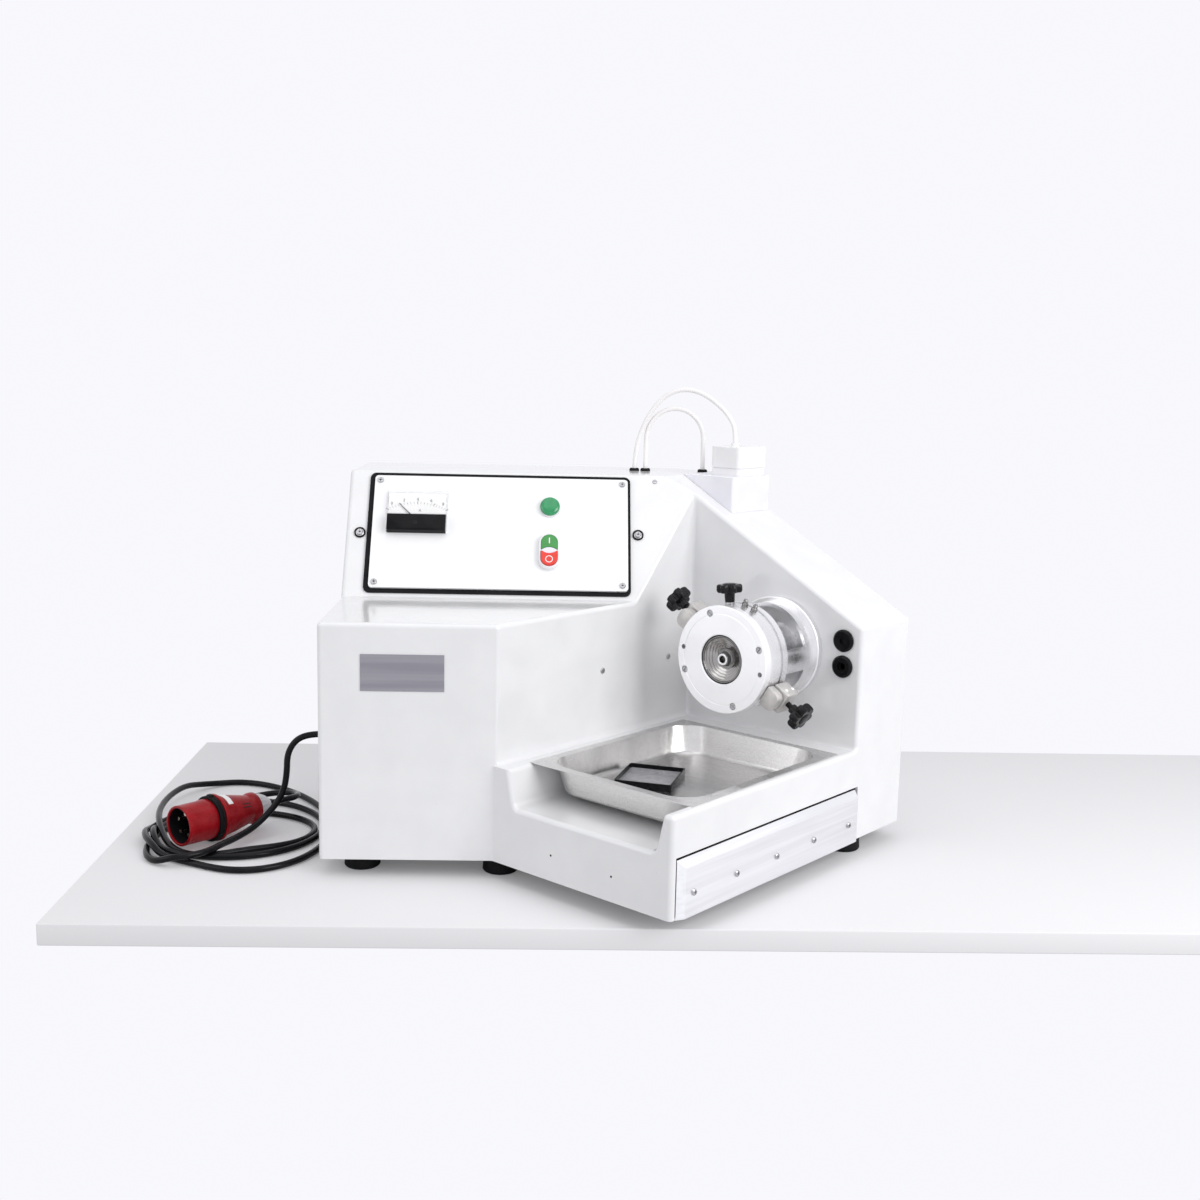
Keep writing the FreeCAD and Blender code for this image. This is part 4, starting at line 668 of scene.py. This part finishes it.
def makeKnobs():
    for name, angle in clamp["angles"].items():
        stem = clamp["knobStart"] - clamp["low"] - 2
        form = shift(starForm(clampStar, stem), clamp["boltPlace"], 0, clamp["knobStart"])
        addPiece(name + "Knob", form, radialPlace(angle), blackKnob, "clamp_knob_" + name)
    form = shift(starForm(fillerStar, 6), fillerPlug["place"], 0, fillerPlug["seat"])
    addPiece("fillerKnob", form, radialPlace(fillerPlug["angle"]), blackKnob, "filling_knob")
    collar = lathe([(4.1, -2), (6.8, -2), (6.8, -0.2), (4.1, -0.2), (4.1, -2)], 48)
    addPiece("fillerCollar", shift(collar, fillerPlug["place"], 0, fillerPlug["seat"]),
             radialPlace(fillerPlug["angle"]), platedScrew, "filling_knob", stands=False)


def makeClaws():
    low, high, back = clamp["low"], clamp["high"], clamp["back"]
    middle, long = (low + high) / 2, clamp["body"]
    lugSize, bridgeSize, jawSize = clamp["lug"], clamp["bridge"], clamp["jaw"]
    for name, angle in clamp["angles"].items():
        body = block((long, clamp["width"], high - low), (back + long / 2, 0, middle))
        body = soften(body, 2.6, 3)
        lug = block(lugSize, (clamp["front"] - lugSize[0] / 2, 0, low + lugSize[2] / 2))
        corners = [e for e in lug.edges if abs(e.verts[0].co.x - e.verts[1].co.x) > 5
                   and e.verts[0].co.z > low + 5]
        bmesh.ops.bevel(lug, geom=corners, offset=clamp["lugRound"], affect="EDGES", segments=6,
                        profile=0.5, material=-1)
        lug = soften(lug, 1.2)
        bridge = block(bridgeSize, (back + long, 0, low + 7))
        jaw = soften(block(jawSize, (back + jawSize[0] / 2, 0, low - 2.5)), 0.5)
        addPiece(name + "Claw", gather([body, lug, bridge, jaw]), radialPlace(angle),
                 castClaw, "clamp_claw_" + name)
        pins = []
        for x in clamp["pins"]:
            pin = lathe([(0, 1.2), (1.8, 1.2), (2.3, 0.7), (2.3, -1), (0, -1)], 24)
            bmesh.ops.rotate(pin, cent=(0, 0, 0), matrix=Matrix.Rotation(radians(90), 3, "X"),
                             verts=pin.verts)
            pins.append(shift(pin, back + x, -clamp["width"] / 2, middle + 3))
        addPiece(name + "ClawPins", gather(pins), radialPlace(angle), satinSteel,
                 "clamp_claw_" + name, stands=False)


makeKnobs()
makeClaws()

print("inlet bowl")
inlet = {
    # radius and height of each tread, from the rim inwards, ahead of the mill wall
    "treads": ((30.3, 28.2, 134.2), (28.2, 24.8, 131.8), (24.8, 21.2, 129.6), (21.2, 17.6, 127.6),
               (17.6, 14.0, 126.3)),
    "dish": 0.9,      # each tread falls by this towards the nozzle
    "foot": 124.6,
}


def makeInletBowl():
    outline = []
    for outer, inner, height in inlet["treads"]:
        outline += [(outer, height), (inner + 0.3, height - inlet["dish"]),
                    (inner, height - inlet["dish"] - 0.3)]
    last = inlet["treads"][-1][1]
    outline.append((last, inlet["foot"]))
    addPiece("inletBowl", lathe(outline, 96), millPlace, bowlSteel, "inlet_insert", stands=False)
    lip = lathe([(5.2, 134.1), (5.9, 134.7), (7.2, 134.7), (7.9, 134.1)], 64)
    addPiece("nozzleLip", lip, millPlace, turnedSteel, "inlet_insert", stands=False)


makeInletBowl()

# the slots, holes and rings made here are painted shade, not cut recesses
print("screw slots and small holes")
screws = {
    # place on the panel and turn of each slot
    "panel_screws": ((46.0, 20.7, 15), (397.5, 20.7, 40), (46.0, 181.7, 70), (397.5, 181.7, 55)),
    "side_fasteners": ((20.4, 100.0, 30), (420.4, 103.5, 62)),
    "slot": (5.4, 1.1), "recessShadeRing": (6.3, 8.0, 2.2),
    "trayHoleShades": ((101.0, 58.5), (201.0, 57.0)),
}


def surfacePoint(node, place, start, way):
    found, spot, _, _ = frame["nodes"][node].ray_cast(place @ Vector(start), way)
    return place.inverted() @ spot if found else Vector(start)


# a flat dark cross laid on a screw head: painted shade of the cross recess, which is not cut
def crossSlotShade(spot, turn, long, wide):
    cross = gather([block((long, wide, 0.3)), block((wide, long, 0.3))])
    bmesh.ops.rotate(cross, cent=(0, 0, 0), matrix=Matrix.Rotation(radians(turn), 3, "Z"),
                     verts=cross.verts)
    return shift(cross, *spot)


def makeScrewDetails():
    inward = -(panelPlace.to_3x3() @ upwards).normalized()
    # painted shade in the cross recesses of the panel screws and the side fasteners
    for node in ("panel_screws", "side_fasteners"):
        slotShades = []
        for x, y, turn in screws[node]:
            spot = surfacePoint(node, panelPlace, (x, y, 60), inward)
            slotShades.append(crossSlotShade(spot, turn, *screws["slot"]))
        name = node.split("_")[0] + "ScrewSlotShades"
        addPiece(name, gather(slotShades), panelPlace, inkAndShadeBlack, node, stands=False)
    # dark rings round the side fasteners, drawn in the black rubber finish: painted shade of the
    # recess round each fastener
    inner, outer, high = screws["recessShadeRing"]
    rings = []
    for x, y, _ in screws["side_fasteners"]:
        ring = lathe([(inner, 0), (outer, 0), (outer, high), (inner, high), (inner, 0)], 48)
        rings.append(shift(ring, x, y, 0))
    addPiece("fastenerShadeRings", gather(rings), panelPlace, blackRubber, "side_fasteners",
             stands=False)
    # small black discs on the tray front: painted shade standing for two holes, which are not cut
    holeShades = []
    for x, z in screws["trayHoleShades"]:
        spot = surfacePoint("hood", trayPlace, (x, -40, z), away)
        holeShade = lathe([(0, 0.06), (1.5, 0.06), (1.5, -0.5), (0, -0.5)], 20)
        bmesh.ops.rotate(holeShade, cent=(0, 0, 0), matrix=Matrix.Rotation(radians(90), 3, "X"),
                         verts=holeShade.verts)
        holeShades.append(shift(holeShade, *spot))
    addPiece("trayHoleShades", gather(holeShades), trayPlace, inkAndShadeBlack, "hood", stands=False)


makeScrewDetails()

print("strainer and cable gland")
strainer = {"size": (78.0, 86.0, 10.0), "centre": (104.0, 188.0), "turn": 25.0,
            "foot": 115.6, "meshHeight": 4.0, "wall": 1.8, "pitch": 2.6}


def makeStrainer():
    turn = Matrix.Rotation(radians(strainer["turn"]), 4, "Z")
    place = trayPlace @ Matrix.Translation((*strainer["centre"], strainer["foot"])) @ turn
    wide, long, tall = strainer["size"]
    wall = strainer["wall"]
    rim = block((wide, long, tall), (0, 0, tall / 2))
    ends = [f for f in rim.faces if abs(f.normal.z) > 0.9]
    bmesh.ops.delete(rim, geom=ends, context="FACES_ONLY")
    upright = [e for e in rim.edges if abs(e.verts[0].co.z - e.verts[1].co.z) > 1]
    bmesh.ops.bevel(rim, geom=upright, offset=3, affect="EDGES", segments=4, profile=0.5,
                    material=-1)
    bmesh.ops.recalc_face_normals(rim, faces=rim.faces)
    bmesh.ops.solidify(rim, geom=rim.faces, thickness=wall)
    addPiece("strainerRim", rim, place, darkPlastic, "strainer")
    wide, long = wide - 2 * wall, long - 2 * wall
    form = bmesh.new()
    bmesh.ops.create_grid(form, x_segments=int(wide / strainer["pitch"]),
                          y_segments=int(long / strainer["pitch"]), size=1)
    bmesh.ops.scale(form, vec=(wide / 2, long / 2, 1), verts=form.verts)
    bmesh.ops.wireframe(form, faces=form.faces, thickness=0.5, use_replace=True,
                        use_even_offset=True, use_boundary=True)
    shift(form, 0, 0, strainer["meshHeight"])
    addPiece("strainerMesh", form, place, meshSteel, "strainer", stands=False)


def makeGland():
    form = lathe([(4.6, -8), (6.4, -8), (6.4, 0), (13, 0), (13, 5.6), (12.2, 6.6), (11, 6.8),
                  (11, 9), (9.4, 10), (8.9, 12), (8.9, 13), (8.1, 13.4), (8.1, 14.4), (8.4, 14.8),
                  (8.2, 16.4), (7.5, 16.8), (7.5, 17.8), (7.8, 18.2), (7.5, 20), (6.9, 20.4),
                  (6.9, 21.4), (7.1, 21.8), (6.6, 24), (6.2, 25), (4.7, 25), (4.6, -8)], 48)
    place = bodyPlace @ axes((0, 170, 147), (0, 1, 0), (0, 0, -1), (-1, 0, 0))
    addPiece("cableGland", form, place, blackRubber, "cable_gland")


makeStrainer()
makeGland()

print("hoses and mains lead")
leadRoute = [(-20, 170, 147), (-38, 170, 147), (-59, 170, 139), (-71.5, 170, 118),
             (-72.5, 171, 90), (-77, 171, 64), (-88, 170, 44), (-101, 163, 29),
             (-112, 148, 20), (-122, 128, 16), (-134, 106, 14), (-143, 87, 14)]
coil = {
    "start": 340, "turns": 3.625, "steps": 24,
    # turns done, centre, half width and depth, lean and height of the turn there
    "stations": (
        (0.00, (-197, 100), (54, 70), 0, 15), (0.17, (-197, 100), (54, 70), 0, 15),
        (0.30, (-194, 104), (57, 74), 0, 5), (0.55, (-160, 135), (92, 100), 0, 5),
        (0.68, (-140, 150), (110, 100), 0, 5), (0.95, (-132, 166), (98, 82), 0, 5),
        (1.14, (-132, 170), (98, 80), 0, 5), (1.30, (-158, 216), (186, 108), 106, 5),
        (1.38, (-156, 219), (186, 108), 106, 17), (1.53, (-155, 222), (186, 108), 106, 17),
        (1.62, (-155, 222), (186, 108), 106, 5), (1.95, (-138, 196), (192, 122), 106, 5),
        (2.20, (-138, 196), (192, 122), 106, 5), (2.28, (-150, 164), (126, 124), 0, 5),
        (2.34, (-152, 160), (114, 118), 0, 15), (2.40, (-152, 160), (114, 118), 0, 15),
        (2.47, (-152, 160), (114, 118), 0, 5), (2.70, (-145, 182), (114, 124), 0, 5),
        (2.95, (-140, 176), (117, 118), 0, 5), (3.15, (-140, 176), (117, 118), 0, 5),
        (3.34, (-147, 158), (110, 104), 0, 6), (3.38, (-147, 159), (109, 104), 0, 16),
        (3.42, (-147, 162), (108, 104), 0, 16), (3.455, (-147, 162), (108, 104), 0, 5),
        (3.625, (-145, 170), (110, 112), 0, 5)),
}
tailRoute = [(-172, 289, 8), (-148.9, 302, 13), (-119.7, 309, 17), (-91.2, 299.3, 21),
             (-74.8, 273.6, 26), (-77, 246.5, 30), (-92, 230, 31), (-108.1, 210.7, 31)]
bottleSocket = crest + across * 60.4 + away * 72      # where the long hose enters the cap
longHoseRoute = [(421, 405, 497.3), (421, 405, 529.3), (428, 402, 567.3), (447, 396, 607.3),
                 (475, 388, 633.3), (509, 377, 635.3),
                 (bottleSocket.x - 28, bottleSocket.y + 18, 617.3),
                 (bottleSocket.x - 6, bottleSocket.y + 4, 593.3),
                 (bottleSocket.x, bottleSocket.y, 573), (bottleSocket.x, bottleSocket.y, 542)]
shortHoseRoute = [(438, 405, 497.3), (438, 405, 537.3), (438.5, 404.5, 578.3),
                  (464, 402, 605.3), (500, 400, 605.3), (525.5, 402, 578.3),
                  (526, 402, 537.3), (526, 402, 497.3)]


def ovalMatrix(half, lean):
    turn = Matrix.Rotation(radians(lean), 3, "Z")
    return turn @ Matrix.Diagonal((*half, 1)) @ turn.transposed()


def coilRoute():
    points = []
    stations = coil["stations"]
    for step in range(round(coil["turns"] * coil["steps"]) + 1):
        done = step / coil["steps"]
        index = max(i for i in range(len(stations) - 1) if stations[i][0] <= done + 1e-9)
        before, after = stations[index], stations[index + 1]
        share = min((done - before[0]) / (after[0] - before[0]), 1)
        share = share * share * (3 - 2 * share)
        centre = Vector(before[1]).lerp(Vector(after[1]), share)
        oval = ovalMatrix(*before[2:4]).lerp(ovalMatrix(*after[2:4]), share)
        angle = radians(coil["start"] - 360 * done)
        reach = oval @ Vector((cos(angle), sin(angle), 0))
        points.append((centre.x + reach.x, centre.y + reach.y,
                       before[4] + (after[4] - before[4]) * share))
    return points


def addCord(name, route, radius, finish, nodes, body="machine"):
    curve = bpy.data.curves.new(name, "CURVE")
    curve.dimensions = "3D"
    spline = curve.splines.new("NURBS")
    spline.points.add(len(route) - 1)
    for point, spot in zip(spline.points, route):
        point.co = (*(bodyPlace @ Vector(spot)), 1)
    spline.order_u = 3
    spline.use_endpoint_u = True
    spline.resolution_u = 8
    curve.bevel_depth = radius * 0.001
    curve.bevel_resolution = 5
    curve.use_fill_caps = True
    curve.materials.append(finish)
    cord = bpy.data.objects.new(name, curve)
    bpy.context.scene.collection.objects.link(cord)
    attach(cord, body)
    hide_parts(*nodes)
    return cord


longHose = addCord("longHose", longHoseRoute, 3.5, hosePlastic, ["hose_long"])
shortHose = addCord("shortHose", shortHoseRoute, 3.5, hosePlastic, ["hose_short"])
mainsLead = addCord("mainsLead", leadRoute + coilRoute() + tailRoute, 4.5, cablePlastic,
                    ["mains_cable", "cable_coil"])

print("plug")
plug = {"face": (-205.5, 94.8, 35.0), "tail": (-108.1, 210.7, 31.0),
        # angles round the plug's axis
        "top": -130, "patch": -112, "slots": (-80, -68),
        "taperStart": 64, "taper": 0.07, "slotPlace": (21.3, 0, 99), "slotLean": -12}


def plugPlace():
    face, tail = Vector(plug["face"]), Vector(plug["tail"])
    lean = upwards.rotation_difference(tail - face).to_matrix().to_4x4()
    return bodyPlace @ Matrix.Translation(face) @ lean


def wrapped(form, radius):
    bmesh.ops.subdivide_edges(form, edges=form.edges, cuts=8, use_grid_fill=True)
    for vert in form.verts:     # the body tapers towards the cable
        turn = vert.co.y / radius
        reach = radius + vert.co.x - (vert.co.z - plug["taperStart"]) * plug["taper"]
        vert.co.x, vert.co.y = reach * cos(turn), reach * sin(turn)
    return form


def makePlug():
    place = plugPlace()
    collar = lathe([(24.5, 40), (24.5, 0.8), (25.2, 0), (27.3, 0), (28, 0.8), (28, 36),
                    (28.6, 38), (28.6, 45.5), (28, 46.5), (28, 56), (32.4, 56.6), (33, 57.4),
                    (33, 60.4), (32.4, 61.2), (29.4, 62.6), (28.6, 70), (26.6, 84),
                    (23.2, 100), (21, 110), (20.4, 113), (21.6, 116), (22.5, 119),
                    (22.5, 124.5), (21.6, 126), (0, 126), (0, 40), (24.5, 40)], 96)
    addPiece("plugBody", collar, place, redPlastic, "plug_body")
    # a thin black lining over the inside of the plug's front recess: painted shade, the recess is
    # dark only from shade
    wellShade = lathe([(0, 39.5), (24.4, 39.5), (24.4, 3), (24.1, 2.6), (24.1, 39.2), (0, 39.2)], 72)
    addPiece("plugWellShade", wellShade, place, inkAndShadeBlack, "plug_body", stands=False)
    ring = lathe([(28.1, 47), (31, 47), (32, 48), (32, 50.8), (31.2, 51.5), (32, 52.2),
                  (32, 55), (31, 56), (28.1, 56), (28.1, 47)], 96)
    addPiece("plugRing", ring, place, blackRubber, "plug_ring")
    nut = lathe([(4.6, 126.1), (18.2, 126.1), (19, 127), (18.6, 132), (17.5, 138),
                 (14.4, 144), (12, 147), (11, 149.4), (8, 150), (4.6, 150), (4.6, 126.1)], 72)
    for vert in nut.verts:
        if vert.co.xy.length > 13:
            vert.co.xy *= 1 + 0.018 * cos(vert.co.xy.angle_signed(Vector((1, 0))) * 18)
    addPiece("plugGland", nut, place, greyPlastic, "plug_gland")
    lug = soften(block((6, 9, 7), (31.4, 0, 51.5)), 1.5)
    addPiece("plugLug", lug, place @ Matrix.Rotation(radians(plug["top"]), 4, "Z"),
             blackRubber, "plug_ring", stands=False)
    patch = wrapped(block((0.4, 26, 13), (0, 0, 70)), 28.9)
    addPiece("plugPatch", patch, place @ Matrix.Rotation(radians(plug["patch"]), 4, "Z"),
             whiteMark, "plug_body", stands=False)
    # two dark red blocks set into the body: painted shade of its recessed double slot
    for index, angle in enumerate(plug["slots"]):
        slot = block((5, 1.7, 15), plug["slotPlace"])
        bmesh.ops.rotate(slot, cent=plug["slotPlace"], verts=slot.verts,
                         matrix=Matrix.Rotation(radians(plug["slotLean"]), 3, "Y"))
        addPiece(f"plugSlotShade{index}", slot, place @ Matrix.Rotation(radians(angle), 4, "Z"),
                 redPaintedShade, "plug_body", stands=False)


makePlug()
